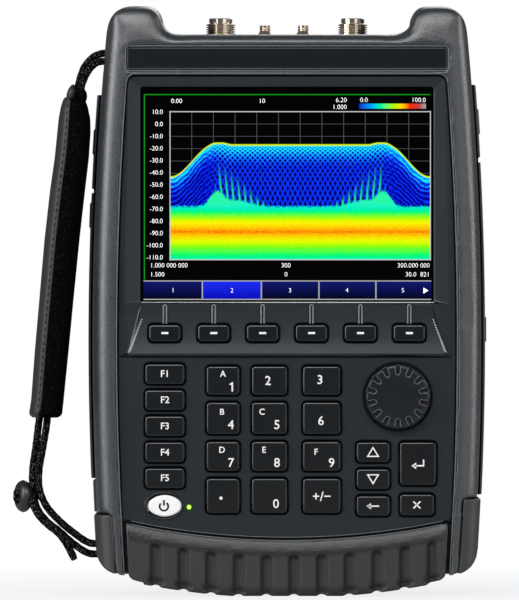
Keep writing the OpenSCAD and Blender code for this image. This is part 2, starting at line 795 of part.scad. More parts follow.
module rear_cover() {
    color("#33363a") {
        difference() {
            union() {
                difference() {
                    intersection() {
                        body_solid();
                        span(-case_w, case_w, split_y, back_y + slop, 0, body_h + slop);
                    }
                    on_front(split_y - slop, back_in_y) bowed(wall, low_cavity_z, cavity_z);
                    on_front(split_y - slop, back_in_y)
                        bowed(low_cavity_wall, rail_base + floor_wall, low_cavity_z + slop);
                }
                case_screw_places() rod_y(0, 0, screw_boss_r, split_y, back_in_y + slop);
                mirror([1, 0, 0]) span(10, side_x(shelf_z) - wall + 1, main_back_y + 1, back_in_y + slop,
                    shelf_z - 3, shelf_z);
            }
            on_front(recess_y, back_y + slop) bowed(rail_w, bumper_h + 14, bezel_z - 2);
            on_front(back_y - bumper_t, back_y + slop) bumper_zone();
            corner_zones(rubber_gap);
            for (d = doors) on_door_side(d) door_pocket(d);
            for (x = large_ports) translate([x, port_y, cavity_z - slop])
                cylinder(r = port_base_r + port_hole_gap, h = top_wall + horn_h);
            for (x = small_ports_x) translate([x, port_y, cavity_z - slop])
                cylinder(r = small_port_base_r + port_hole_gap, h = top_wall + horn_h);
            case_screw_places() {
                rod_y(0, 0, screw_r + 0.2, split_y - slop, back_y);
                rod_y(0, 0, screw_head_r + 0.3, screw_head_y, back_y + slop);
            }
        }
        both_sides() stand_lug();
        mirror([1, 0, 0]) side_slab(-slop, pad_proud, door_y, door_back_y, left_corner_z + pad_end_gap,
            battery_door[2] - pad_end_gap);
    }
}

// Front view of both panels together, above the bumper
module panel_outline(z0, z1) {
    intersection() {
        bowed(rail_w + panel_gap, z0, z1);
        translate([0, bumper_h + 2 * panel_gap + bumper_bow_r]) circle(bumper_bow_r, $fn = bow_fn);
    }
}

module key_shape(k, grow) {
    rounded(k[1], k[2], k[3] + 2 * grow, k[4] + 2 * grow, key_r + grow);
}

// Oval of four arcs that meet without a corner
module oval(x, z, w, h, end_r) {
    reach = w / 2 - end_r;
    flat_r = (reach * reach + h * h / 4 - end_r * end_r) / (h - 2 * end_r);
    meet = reach * flat_r / (flat_r - end_r);
    translate([x, z]) {
        for (s = [-1, 1]) translate([s * reach, 0]) circle(end_r);
        intersection() {
            translate([0, h / 2 - flat_r]) circle(flat_r, $fn = 96);
            translate([0, flat_r - h / 2]) circle(flat_r, $fn = 96);
            translate([-meet, -h]) square([2 * meet, 2 * h]);
        }
    }
}

module power_shape(grow) {
    oval(power_key[1], power_key[2], power_w + 2 * grow, power_h + 2 * grow, power_end_r + grow);
}

// Slope that leads from the bezel's face down to the glass
module screen_slope() {
    run = (slope_d + slop) / slope_d;
    x = screen_w / 2;
    top = screen_z + screen_h;
    foot = 0.6;
    y0 = panel_y + slope_d;
    y1 = panel_y - slop;
    points = [
        [-x, y0, screen_z], [x, y0, screen_z], [x, y0, top], [-x, y0, top],
        [-x - slope_side * run, y1, screen_z - foot * run], [x + slope_side * run, y1, screen_z - foot * run],
        [x + slope_side * run, y1, top + slope_top * run], [-x - slope_side * run, y1, top + slope_top * run]
    ];
    polyhedron(points, [
        [0, 1, 2, 3], [7, 6, 5, 4], [4, 5, 1, 0], [5, 6, 2, 1], [6, 7, 3, 2], [7, 4, 0, 3]
    ]);
}

module soft_shelf() {
    low = seam_z + 1.2;
    high = screen_z - 1.4;
    intersection() {
        on_side(-shelf_w, shelf_w)
            polygon([[panel_y + 0.5, low], [panel_y - shelf_rise, low], [panel_y, high], [panel_y + 0.5, high]]);
        on_front(panel_y - 2 * shelf_rise, panel_y + slop) polygon([
            [-shelf_w / 2, low], [shelf_w / 2, low], [shelf_top_w / 2, high], [-shelf_top_w / 2, high]
        ]);
    }
}

module display_bezel() {
    slot_w = 2.2;
    slot_l = 8;
    slot_d = 0.8;
    color("#24272c") difference() {
        union() {
            on_front(panel_y, panel_back_y) difference() {
                panel_outline(seam_z + panel_gap / 2, bezel_z);
                for (s = [0, 1]) mirror([s, 0])
                    corner_cut(side_x(bezel_z) - rail_w - panel_gap, bezel_z, bezel_corner_r);
            }
            soft_shelf();
        }
        screen_slope();
        on_front(panel_y, panel_back_y + slop)
            rounded(0, screen_z + screen_h / 2, screen_w, screen_h, 1.5);
        on_front(glass_y, panel_back_y + slop)
            rounded(0, screen_z + screen_h / 2, screen_w + 2 * glass_lap + 0.4,
                screen_h + 2 * glass_lap + 0.4, 1.7);
        on_front(panel_y - 2 * shelf_rise, panel_back_y + slop) for (k = soft_keys) key_shape(k, key_gap);
        on_front(panel_y - shelf_rise, panel_y + slot_d) for (k = soft_keys)
            rounded(k[1], screen_z - 1.2 - slot_l / 2, slot_w, slot_l, 0.8);
    }
}

module keypad_plate() {
    color("#26292d") {
        difference() {
            on_front(panel_y, panel_back_y) difference() {
                panel_outline(0, seam_z - panel_gap / 2);
                for (k = plate_keys) key_shape(k, key_gap);
                power_shape(key_gap);
            }
            rod_y(knob_x, knob_z, knob_r + knob_gap, panel_y - slop, well_y);
            rod_y(knob_x, knob_z, bushing_r + 0.15, panel_y, panel_back_y + slop);
            rod_y(lens_at[0], lens_at[1], lens_r + 0.1, panel_y - slop, panel_back_y + slop);
        }
        for (x = boss_columns) for (z = boss_rows) rod_y(x, z, boss_r, panel_back_y - 0.5, board_y);
    }
}

module name_strip() {
    color("#14161a") on_front(front_y + strip_t, front_y + 2 * strip_t) strip_shape(0);
}

module bumper_groove(x) {
    top = bumper_h + x * x / (2 * bumper_bow_r) - 7;
    y = front_y - bumper_proud - groove_r + groove_d;
    translate([x, y, -slop]) cylinder(r = groove_r, h = top - groove_r + slop);
    translate([x, y, top - groove_r]) sphere(groove_r);
    foot = x * x / (2 * bumper_bow_r) - foot_flat;
    rod_y(x, max(foot, 0) - groove_r + groove_foot_d, groove_r, front_y - 2 * groove_r, back_y + slop);
}

module bottom_bumper() {
    outer_y = front_y - bumper_proud;
    round_r = 5;
    color("#2f3235") difference() {
        intersection() {
            on_front(outer_y, back_y) bumper_outline(rail_w + panel_gap, 0);
            on_side(-case_w, case_w) difference() {
                translate([outer_y, 0]) square([back_y - outer_y, 3 * bumper_h]);
                corner_cut(back_y, -bite, round_r, -1);
                mirror([1, 0]) corner_cut(-outer_y, -bite, round_r, -1);
            }
        }
        span(-case_w, case_w, front_y + bumper_t, back_y - bumper_t, rail_base, 4 * bumper_h);
        for (i = [0 : groove_count - 1])
            bumper_groove(groove_shift + (i - (groove_count - 1) / 2) * groove_pitch);
    }
}

module corner_bumpers() {
    color("#4a4a4c") difference() {
        intersection() {
            body_solid(corner_proud);
            corner_zones(0);
        }
        cord_hole(front_strand[len(front_strand) - 1]);
        cord_hole(rear_strand[len(rear_strand) - 1]);
    }
}

module display_window() {
    color("#0c1018") on_front(glass_y, module_y)
        rounded(0, screen_z + screen_h / 2, screen_w + 2 * glass_lap, screen_h + 2 * glass_lap, 1.5);
}

module display_module() {
    half = screen_w / 2 + module_rim;
    strip_half = screen_w / 3;
    color("#9aa0a4") union() {
        span(-half, half, module_y, module_y + module_t - 2, screen_z - module_rim,
            screen_z + screen_h + module_rim);
        span(-strip_half, strip_half, module_y, module_y + module_t, screen_z + 6, screen_z + 26);
    }
}

module key_sheet() {
    color("#50545a") difference() {
        union() {
            span(-board_w / 2 + 1, board_w / 2 - 1, sheet_y, board_y, board_low_z, board_high_z - 1);
            for (k = all_keys) rod_y(k[1], k[2], dome_r, dome_y, board_y);
        }
        for (x = boss_columns) for (z = boss_rows) rod_y(x, z, boss_r + 0.4, dome_y, board_y + slop);
        span(knob_x - encoder_w / 2 - 0.5, knob_x + encoder_w / 2 + 0.5, dome_y, board_y + slop,
            knob_z - encoder_w / 2 - 0.5, knob_z + encoder_w / 2 + 0.5);
        rod_y(lens_at[0], lens_at[1], lens_r + 0.3, dome_y, board_y + slop);
    }
}

module keypad_board() {
    color("#1f5a3a") span(-board_w / 2, board_w / 2, board_y, board_y + board_t, board_low_z - 0.4, board_high_z);
}

module main_board() {
    color("#1f5a3a") union() {
        span(-main_board_w / 2, main_board_w / 2, split_y, main_back_y, main_board_low_z, main_board_high_z);
        for (c = chips) span(c[0], c[0] + c[2], main_back_y - slop / 2, main_back_y + chip_t, c[1], c[1] + c[3]);
    }
}

module radio_module() {
    color("#a7abae") union() {
        span(-radio_w / 2, radio_w / 2, main_back_y, radio_back_y, radio_z, radio_z + radio_h);
        for (i = [-2 : 2]) span(i * radio_w / 6 - 1, i * radio_w / 6 + 1, radio_back_y - slop,
            radio_back_y + radio_rib, radio_z + radio_rib_in, radio_z + radio_h - radio_rib_in);
    }
}

module battery_pack() {
    right_x = side_x(door_mid(battery_door)) - wall - battery_side_gap;
    color("#3f4a5a") span(-right_x, battery_x - right_x, window_front_y + battery_wall,
        window_back_y - battery_wall, shelf_z, shelf_z + battery_h);
}

module encoder() {
    color("#8f9499") difference() {
        union() {
            span(knob_x - encoder_w / 2, knob_x + encoder_w / 2, panel_back_y, board_y,
                knob_z - encoder_w / 2, knob_z + encoder_w / 2);
            rod_y(knob_x, knob_z, bushing_r, well_y, panel_back_y + 0.5);
        }
        rod_y(knob_x, knob_z, shaft_r + shaft_play, well_y - slop, board_y - 0.5);
    }
}

module encoder_shaft() {
    color("#c9ccd0") rod_y(knob_x, knob_z, shaft_r, knob_back_y - knob_l + 2.5, board_y - 0.8);
}

module tuning_knob() {
    face_y = knob_back_y - knob_l;
    notch_at = knob_r - notch_l + notch_w / 2;
    chamfer = 0.8;
    color("#1b1d20") difference() {
        translate([knob_x, knob_back_y, knob_z]) rotate([90, 0, 0]) rotate_extrude() polygon([
            [0, 0], [knob_r, 0], [knob_r, knob_l - chamfer], [knob_r - chamfer, knob_l], [0, knob_l]
        ]);
        for (i = [0 : notch_count - 1]) translate([knob_x, face_y - slop, knob_z])
            rotate([0, i * 360 / notch_count, 0]) {
                rod_y(notch_at, 0, notch_w / 2, 0, notch_d + slop);
                span(notch_at, knob_r + slop, 0, notch_d + slop, -notch_w / 2, notch_w / 2);
            }
        rod_y(knob_x, knob_z, shaft_r + pin_hole_play, face_y + 2.4, knob_back_y + slop);
    }
}

module status_lens() {
    color("#9fd020") rod_y(lens_at[0], lens_at[1], lens_r, panel_y - 0.2, board_y);
}

// A threaded coaxial port: base through the top wall, thread, narrow lip, socket and centre pin
module coaxial_port(x, base_r, thread_r, thread_l, lip_r, lip_l, bore_r, bore_d, pin) {
    base_z = radio_z + radio_h;
    top = port_base_z + thread_l + lip_l;
    translate([x, port_y, 0]) union() {
        difference() {
            union() {
                translate([0, 0, base_z]) cylinder(r = base_r, h = port_base_z - base_z);
                translate([0, 0, base_z]) cylinder(r = thread_r, h = port_base_z + thread_l - base_z);
                translate([0, 0, base_z]) cylinder(r = lip_r, h = top - base_z);
            }
            translate([0, 0, top - bore_d]) cylinder(r = bore_r, h = bore_d + slop);
        }
        translate([0, 0, top - bore_d - slop]) cylinder(r = pin, h = bore_d - 0.5);
    }
}

module test_ports() {
    color("#b9a98a") for (x = large_ports)
        coaxial_port(x, port_base_r, port_r, port_l, port_r - 2.3, 1.6, 4.2, 6, 0.9);
}

module small_ports() {
    color("#b9a98a") for (x = small_ports_x)
        coaxial_port(x, small_port_base_r, small_port_r, small_port_l, small_port_r - 0.4, 0.4, 2.3, 3, 0.6);
}

module case_screws() {
    color("#8a8d90") case_screw_places() {
        rod_y(0, 0, screw_head_r, screw_head_y, screw_head_y + screw_head_t);
        rod_y(0, 0, screw_r, split_y - screw_bite + 0.5, screw_head_y + 0.5);
    }
}

module hinge_pins() {
    color("#c2c5c8") {
        for (d = doors) on_door_side(d) at_side(door_mid(d))
            translate([hinge_line(d), hinge_y, -door_l(d) / 2 + knuckle_in - pin_in + 0.3])
                cylinder(r = pin_r, h = door_l(d) - 2 * knuckle_in + 2 * pin_in - 0.6);
        both_sides() translate([stand_w / 2 - stand_pin_in + 0.3, stand_hinge_y, stand_z]) rotate([0, 90, 0])
            cylinder(r = stand_pin_r, h = stand_pin_in + lug_gap + lug_t - 1.6);
    }
}

// A socket block on the main board whose slot faces out through a door's window
module jack(z, w, slot_h) {
    h = jack_h;
    slot_w = w - 2 * jack_wall;
    face = min(side_x(z - w / 2), side_x(z + w / 2)) - wall - jack_gap;
    difference() {
        span(face - jack_l, face, main_back_y, main_back_y + h, z - w / 2, z + w / 2);
        span(face - jack_slot_d, face + slop, main_back_y + h - slot_h - jack_wall, main_back_y + h - jack_wall,
            z - slot_w / 2, z + slot_w / 2);
    }
}

module side_jacks() {
    color("#a9adb2") {
        for (s = [-1, 1]) jack(door_mid(doors[0]) + s * jack_pitch / 2, jack_w, jack_slot_h);
        jack(door_mid(doors[1]) + jack_pitch, card_w, card_slot_h);
        mirror([1, 0, 0]) jack(door_mid(doors[2]), plug_w, jack_slot_h);
    }
}

module tilt_stand() {
    half = stand_w / 2;
    y0 = stand_hinge_y - stand_t / 2;
    color("#2c2f33") difference() {
        union() {
            on_front(y0, y0 + stand_t) difference() {
                translate([-half, stand_z - stand_l]) square([stand_w, stand_l]);
                for (s = [0, 1]) mirror([s, 0]) corner_cut(half, stand_z - stand_l, 8, -1);
            }
            translate([-half, stand_hinge_y, stand_z]) rotate([0, 90, 0]) cylinder(r = stand_t / 2, h = stand_w);
        }
        for (s = [0, 1]) mirror([s, 0, 0]) translate([half - stand_pin_in, stand_hinge_y, stand_z])
            rotate([0, 90, 0]) cylinder(r = stand_pin_r + pin_play, h = stand_pin_in + slop);
    }
}

module door(d) {
    l = door_l(d);
    mid = door_mid(d);
    out = hinge_line(d);
    color("#2b2e31") on_door_side(d) difference() {
        union() {
            side_slab(-door_sunk, door_proud, door_y, door_back_y, d[2], d[3]);
            side_slab(door_proud - slop, door_proud + pull_h, door_y + 1, door_y + 1 + pull_w,
                d[4] - pull_l / 2, d[4] + pull_l / 2);
            at_side(mid) for (s = [-1, 1]) translate([0, 0, s * knuckle_mid(d) - knuckle_l / 2]) {
                translate([out, hinge_y, 0]) cylinder(r = knuckle_r, h = knuckle_l);
                span(out - 1, out + 1.7, door_back_y - 1, hinge_y, 0, knuckle_l);
            }
        }
        at_side(mid) translate([out, hinge_y, -l / 2]) cylinder(r = pin_r + pin_play, h = l);
    }
}

module key(k) {
    is_soft = search([k[0]], soft_keys)[0] != [];
    is_power = k[0] == power_key[0];
    cap_y = panel_y - (is_soft ? soft_rise : key_rise);
    color(is_power ? "#e6e6e2" : "#17191c") union() {
        on_front(cap_y, key_back_y) if (is_power) power_shape(0); else key_shape(k, 0);
        on_front(ear_y, key_back_y)
            translate([k[1] - k[3] / 2 - ear_w, k[2] - k[4] / 4]) square([k[3] + 2 * ear_w, k[4] / 2]);
    }
}

// Cords and the padded grip: rings of points joined into one closed skin
function unit(v) = v / norm(v);
function along(p, i) = unit(p[min(i + 1, len(p) - 1)] - p[max(i - 1, 0)]);
function across(t) = unit([0, 1, 0] - t * t[1]);
function ring_points(p, t, rx, ry, n) = [for (k = [0 : n - 1])
    p + rx * cos(360 * k / n) * cross(across(t), t) + ry * sin(360 * k / n) * across(t)];
function skin_faces(rings, n) = concat(
    [[for (k = [0 : n - 1]) k]],
    [for (i = [0 : rings - 2]) for (k = [0 : n - 1]) each [
        [i * n + k, (i + 1) * n + k, (i + 1) * n + (k + 1) % n],
        [i * n + k, (i + 1) * n + (k + 1) % n, i * n + (k + 1) % n]
    ]],
    [[for (k = [n - 1 : -1 : 0]) (rings - 1) * n + k]]
);

module skin(p, rx, ry, sides) {
    points = [for (i = [0 : len(p) - 1]) each ring_points(p[i], along(p, i), rx[i], ry[i], sides)];
    polyhedron(points, skin_faces(len(p), sides));
}

module tube(p, r) {
    radii = [for (q = p) r];
    skin(p, radii, radii, cord_sides);
}

// Knot with the stretch of cord that leads from it through the ring
module knot() {
    lump = [for (a = [-65 : 26 : 65]) a];
    steps = concat([for (a = lump) knot_r * sin(a)], [rear_strand[14][0] - knot_at[0]]);
    radii = concat([for (a = lump) max(knot_r * cos(a), cord_r)], [cord_r]);
    skin([for (s = steps) knot_at + [s, 0, 0]], radii, radii, cord_sides);
}

module strap_cord() {
    color("#1a1a1a") translate(strap_x) {
        tube(front_strand, cord_r);
        tube(rear_strand, cord_r);
        tube(free_end, cord_r);
        knot();
    }
}

module strap_grip() {
    middle = [for (s = grip_sections) [s[0], strap_y, s[1]]];
    color("#2a2b2e") translate(strap_x)
        skin(middle, [for (s = grip_sections) s[2]], [for (s = grip_sections) s[3]], grip_sides);
}

module strap_ring() {
    color("#26282b") translate(ring_at + strap_x) rotate([0, 90, 0])
        rotate_extrude() translate([ring_mid_r, 0]) circle(ring_r);
}

front_frame();
rear_cover();
display_bezel();
keypad_plate();
name_strip();
bottom_bumper();
corner_bumpers();
display_window();
display_module();
key_sheet();
keypad_board();
main_board();
radio_module();
battery_pack();
encoder();
encoder_shaft();
tuning_knob();
status_lens();
test_ports();
small_ports();
case_screws();
hinge_pins();
side_jacks();
tilt_stand();
strap_cord();
strap_grip();
strap_ring();
for (d = doors) door(d);
for (k = all_keys) key(k);
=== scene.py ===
"""Handheld spectrum analyzer with a hand strap: shapes, finishes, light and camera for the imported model."""
import math
import random

import bpy
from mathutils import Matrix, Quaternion, Vector
from mathutils.kdtree import KDTree


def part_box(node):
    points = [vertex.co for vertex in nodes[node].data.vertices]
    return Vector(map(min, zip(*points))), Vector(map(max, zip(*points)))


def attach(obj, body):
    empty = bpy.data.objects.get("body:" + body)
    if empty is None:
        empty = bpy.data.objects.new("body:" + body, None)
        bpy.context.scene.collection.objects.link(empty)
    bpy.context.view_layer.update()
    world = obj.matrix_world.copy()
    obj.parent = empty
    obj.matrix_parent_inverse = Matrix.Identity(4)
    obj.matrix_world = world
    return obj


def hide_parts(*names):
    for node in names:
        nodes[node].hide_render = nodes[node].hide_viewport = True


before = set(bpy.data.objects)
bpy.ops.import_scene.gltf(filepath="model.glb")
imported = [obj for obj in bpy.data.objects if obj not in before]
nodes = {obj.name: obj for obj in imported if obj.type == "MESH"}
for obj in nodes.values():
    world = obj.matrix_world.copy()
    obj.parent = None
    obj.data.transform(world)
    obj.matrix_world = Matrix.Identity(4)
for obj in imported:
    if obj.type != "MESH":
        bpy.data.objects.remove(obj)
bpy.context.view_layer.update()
MM = 0.001
PIXEL = 0.4878 * MM
CASE = "case"

# Sizes of the solid model, in millimetres
FRAME_FRONT, PLATE_FRONT = -36, -33.5
BUMPER_FRONT, BUMPER_HEIGHT, BUMPER_BOW, BUMPER_ROUND = -37, 27.3, 370, 5
FLUTE_START, FLUTE_PITCH, FLUTES_EACH_WAY = 3.4, 13.5, 5
FLUTE_TOP, FLUTE_RADIUS, FLUTE_DEPTH = 10.2, 3.2, 2.7
SIDE_X, SIDE_BOW, SIDE_MIDDLE = 95, 1665, 125
SHELF_TOP, SHELF_HEIGHT, SHELF_RISE = 142.0, 24.2, 2.2
KNOB_NOTCHES = 14
LENS_X, LENS_Z, HALO_RADIUS = -47.75, 43.4, 2.3

# Depths of the front faces, in metres
PLATE_Y = PLATE_FRONT * MM
KEY_Y = -35.3 * MM
SOFT_KEY_Y = -36.7 * MM
GLASS_Y = -31.4 * MM

# Places in the photograph: columns and rows of its pixels
PHOTO_MIDDLE, PHOTO_FOOT = 287, 596
SOFT_KEY_COLUMN, SOFT_KEY_STEP, SOFT_KEY_ROW = 165, 48.86, 333
FUNCTION_KEY_COLUMN, FUNCTION_KEY_ROWS = 165, (374, 400, 426.2, 452.5, 478)
POWER_SPOT, POINT_SPOT, SIGN_SPOT = (164, 505.7), (221, 498), (321.7, 496.8)
UP_SPOT, DOWN_SPOT, BACK_SPOT = (373, 452), (373, 479), (373, 506)
ENTER_SPOT, ESCAPE_SPOT = (417.8, 463.6), (416.8, 504.8)
SHELF_LEFT = ((142.2, 318.5), (129.4, 352.3))
SHELF_RIGHT = ((432.8, 318.5), (445.5, 352.3))
LEVEL_COLUMN, LEVEL_ROW, LEVEL_STEP = 163, 112.0, 12.13
VALUE_ROW, SECOND_ROW, MENU_ROW = 265.5, 274.5, 290.5
MENU_ARROW_SPOT = (426, MENU_ROW)


def spot(column, row):
    """Place across and up on the front for a point of the photograph."""
    return (column - PHOTO_MIDDLE) * PIXEL, (PHOTO_FOOT - row) * PIXEL


def from_spot(place, *offsets):
    """Points on the front, each in millimetres across and up from a point of the photograph."""
    x, z = spot(*place)
    return [(x + across * MM, z + up * MM) for across, up in offsets]


def spread(low, high, count):
    """Even values from low to high, both ends with them."""
    return [low + (high - low) * k / count for k in range(count + 1)]


def circle(count):
    """Even angles round a full turn."""
    return spread(0, 2 * math.pi, count)[:-1]


def within(value, low, high):
    """0 at low or below, 1 at high or above."""
    return min(max((value - low) / (high - low), 0.0), 1.0)


def in_scene(name, data):
    """A new object with this data, in the scene."""
    piece = bpy.data.objects.new(name, data)
    bpy.context.scene.collection.objects.link(piece)
    return piece


# Camera, straight at the front from far away
camera_data = bpy.data.cameras.new("camera")
camera_data.lens = 500
camera_data.sensor_width = 36
camera_data.clip_end = 20
camera = in_scene("camera", camera_data)
camera.location = (-13.4 * MM, -4.098, 144.4 * MM)
camera.rotation_euler = (math.pi / 2, 0, 0)
bpy.context.scene.camera = camera
bpy.context.scene.view_settings.view_transform = "Standard"


# Selection and small modelling helpers
def only(piece):
    bpy.ops.object.select_all(action="DESELECT")
    piece.select_set(True)
    bpy.context.view_layer.objects.active = piece
    return piece


def edit_all(piece):
    """Opens a piece in edit mode with all of it selected."""
    only(piece)
    bpy.ops.object.mode_set(mode="EDIT")
    bpy.ops.mesh.select_all(action="SELECT")


def ready_to_pick(piece, kind):
    """Leaves nothing of a piece selected, so that its faces or edges can be picked."""
    only(piece)
    bpy.ops.object.mode_set(mode="EDIT")
    bpy.ops.mesh.select_all(action="DESELECT")
    bpy.ops.mesh.select_mode(type=kind)
    bpy.ops.object.mode_set(mode="OBJECT")


def applied(piece, name, kind, **settings):
    """Adds a modifier with these settings and applies it."""
    only(piece)
    modifier = piece.modifiers.new(name, kind)
    for key, value in settings.items():
        setattr(modifier, key, value)
    bpy.ops.object.modifier_apply(modifier=name)
    return piece


def set_down(piece):
    """Puts the piece's place, turn and size into its mesh."""
    only(piece)
    bpy.ops.object.transform_apply(location=True, rotation=True, scale=True)
    return piece


def joined(pieces, name):
    bpy.ops.object.select_all(action="DESELECT")
    for piece in pieces:
        piece.select_set(True)
    bpy.context.view_layer.objects.active = pieces[0]
    if len(pieces) > 1:
        bpy.ops.object.join()
    pieces[0].name = name
    pieces[0].data.name = name
    return pieces[0]


def from_points(name, points, faces):
    mesh = bpy.data.meshes.new(name)
    mesh.from_pydata([tuple(p) for p in points], [], faces)
    mesh.update()
    return in_scene(name, mesh)


def outward(piece, merge=1e-6):
    """Merges doubles and turns all faces outwards."""
    edit_all(piece)
    bpy.ops.mesh.remove_doubles(threshold=merge)
    bpy.ops.mesh.normals_make_consistent(inside=False)
    bpy.ops.object.mode_set(mode="OBJECT")
    return piece


def copy_of(node, name, pierced=False):
    """A clean copy of a CAD node's mesh, its flat areas joined where no hole runs through them."""
    mesh = nodes[node].data.copy()
    mesh.name = name
    mesh.materials.clear()
    piece = only(in_scene(name, mesh))
    bpy.ops.mesh.customdata_custom_splitnormals_clear()
    edit_all(piece)
    bpy.ops.mesh.remove_doubles(threshold=2e-6)
    if pierced:
        bpy.ops.mesh.tris_convert_to_quads(face_threshold=math.radians(0.4), shape_threshold=math.pi)
    else:
        bpy.ops.mesh.dissolve_limited(angle_limit=math.radians(0.4))
    bpy.ops.object.mode_set(mode="OBJECT")
    return piece


def smooth(piece, degrees):
    """Smooth shading up to this angle between faces."""
    only(piece)
    bpy.ops.object.shade_smooth_by_angle(angle=math.radians(degrees))
    return piece


def all_smooth(piece):
    only(piece)
    bpy.ops.object.shade_smooth()
    return piece


def flat_faces(piece, by_strength=True):
    """Keeps the flat faces flat in shading beside rounded edges."""
    return applied(piece, "shading", "WEIGHTED_NORMAL", keep_sharp=True, weight=60,
                   use_face_influence=by_strength)


def break_edges(piece, width, segments, degrees=38):
    """Bevels the edges sharper than an angle and marks the flat faces as the stronger ones."""
    return applied(piece, "edges", "BEVEL", width=width, segments=segments, limit_method="ANGLE",
                   angle_limit=math.radians(degrees), use_clamp_overlap=False, loop_slide=False,
                   miter_outer="MITER_ARC", face_strength_mode="FSTR_ALL")


def round_edges(piece, width, degrees=38):
    return flat_faces(smooth(break_edges(piece, width, 3, degrees), 55))


def pick_front(piece, front):
    """Picks a piece's flat front face at a depth, in edit mode."""
    ready_to_pick(piece, "FACE")
    for polygon in piece.data.polygons:
        polygon.select = polygon.normal.y < -0.99 and polygon.center.y < front + 0.05 * MM
    bpy.ops.object.mode_set(mode="EDIT")


def round_front(piece, front, width):
    """Rolls the edge round a cap's front face."""
    pick_front(piece, front)
    bpy.ops.mesh.region_to_loop()
    bpy.ops.mesh.bevel(offset=width, segments=6, profile=0.5, affect="EDGES", clamp_overlap=True)
    bpy.ops.mesh.select_mode(type="VERT")
    bpy.ops.object.mode_set(mode="OBJECT")
    return flat_faces(smooth(piece, 50), False)


def slope_front(piece, front, bands):
    """Slopes bands round a key's front face, each a width and a drop, and eases the edge outside them."""
    pick_front(piece, front)
    bpy.ops.transform.translate(value=(0, sum(drop for width, drop in bands), 0))
    for width, drop in bands:
        bpy.ops.mesh.inset(thickness=width, depth=drop, use_even_offset=True)
    bpy.ops.mesh.select_mode(type="VERT")
    bpy.ops.object.mode_set(mode="OBJECT")
    applied(piece, "edges", "BEVEL", width=0.16 * MM, segments=4, limit_method="ANGLE",
            angle_limit=math.radians(40), loop_slide=False)
    return smooth(piece, 15)


def slope_edges(piece, width, drop):
    """Breaks the front edges of a panel and of its holes with a shallow slope that catches the light."""
    break_edges(piece, width, 1)
    points = piece.data.vertices
    ring = set()
    for polygon in piece.data.polygons:
        if -0.85 < polygon.normal.y < -0.5:
            ring.update(v for v in polygon.vertices if points[v].co.y > polygon.center.y + 0.2 * width)
    for v in ring:
        points[v].co.y -= width - drop
    return flat_faces(smooth(piece, 16))


def remeshed(piece, voxel):
    return applied(piece, "skin", "REMESH", mode="VOXEL", voxel_size=voxel)


def soften(piece, voxel, rounds):
    """A moulded rubber skin: evenly remeshed and smoothed."""
    return all_smooth(applied(remeshed(piece, voxel), "ease", "SMOOTH", iterations=rounds, factor=0.5))


def weigh(piece, name, share):
    """A vertex group whose weights follow from each point's place."""
    group = piece.vertex_groups.new(name=name)
    for vertex in piece.data.vertices:
        group.add([vertex.index], share(vertex.co), "REPLACE")


def smooth_group(piece, name, rounds):
    """Smooths a piece by the weights of a vertex group."""
    return applied(piece, name, "SMOOTH", iterations=rounds, factor=0.5, vertex_group=name)


def turned(name, outline, centre, axis, steps=72):
    """A body spun from a side outline of radius and place along the axis, in millimetres."""
    across = Vector((1, 0, 0))
    along = Vector(axis)
    mesh = bpy.data.meshes.new(name)
    points = [(Vector(centre) + across * r + along * h) * MM for r, h in outline]
    mesh.from_pydata(points, [(i, i + 1) for i in range(len(points) - 1)], [])
    piece = in_scene(name, mesh)
    edit_all(piece)
    bpy.ops.mesh.spin(steps=steps, angle=2 * math.pi, center=Vector(centre) * MM, axis=along)
    bpy.ops.object.mode_set(mode="OBJECT")
    return smooth(outward(piece), 32)


def bead(name, points, radius, closed=False, sides=3):
    """A round bead along points."""
    data = bpy.data.curves.new(name, "CURVE")
    data.dimensions = "3D"
    data.bevel_depth = radius
    data.bevel_resolution = sides
    data.use_fill_caps = not closed
    spline = data.splines.new("POLY")
    spline.points.add(len(points) - 1)
    for target, point in zip(spline.points, points):
        target.co = tuple(point) + (1.0,)
    spline.use_cyclic_u = closed
    only(in_scene(name, data))
    bpy.ops.object.convert(target="MESH")
    return smooth(outward(bpy.context.object), 60)


def front_rims(piece, depth):
    """Edges between a piece's flat front at a depth and the walls that go in from it."""
    fronts, walls = set(), set()
    for polygon in piece.data.polygons:
        if polygon.normal.y < -0.97 and polygon.center.y < depth + 0.05 * MM:
            fronts.update(polygon.edge_keys)
        elif polygon.normal.y > -0.4:
            walls.update(polygon.edge_keys)
    return sorted(fronts & walls)


def beads_along(name, piece, edges, radius, shift):
    """Round beads along a mesh's edges, moved by a shift."""
    used = sorted({v for edge in edges for v in edge})
    place = {v: i for i, v in enumerate(used)}
    mesh = bpy.data.meshes.new(name)
    points = [piece.data.vertices[v].co + shift for v in used]
    mesh.from_pydata(points, [(place[a], place[b]) for a, b in edges], [])
    only(in_scene(name, mesh))
    bpy.ops.object.convert(target="CURVE")
    made = bpy.context.object
    made.data.bevel_depth = radius
    made.data.bevel_resolution = 2
    made.data.use_fill_caps = True
    bpy.ops.object.convert(target="MESH")
    return smooth(outward(bpy.context.object), 60)


def solid_shape(points, y, thick=0.1 * MM):
    """A flat filled outline."""
    count = len(points)
    corners = [Vector((x, depth, z)) for depth in (y - thick / 2, y + thick / 2) for x, z in points]
    faces = [tuple(range(count)), tuple(reversed(range(count, 2 * count)))]
    faces += [(i, i + count, (i + 1) % count + count, (i + 1) % count) for i in range(count)]
    return outward(from_points("shape", corners, faces), 1e-8)


def coated(piece, finish):
    """Gives a piece one finish, in place of any others."""
    piece.data.materials.clear()
    piece.data.materials.append(finish)


def finished(piece, finish, body, stands_for=()):
    """Gives a piece its finish, its body and the nodes that it stands for."""
    if finish is not None:
        coated(piece, finish)
    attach(piece, body)
    if stands_for:
        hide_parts(*stands_for)
    return piece


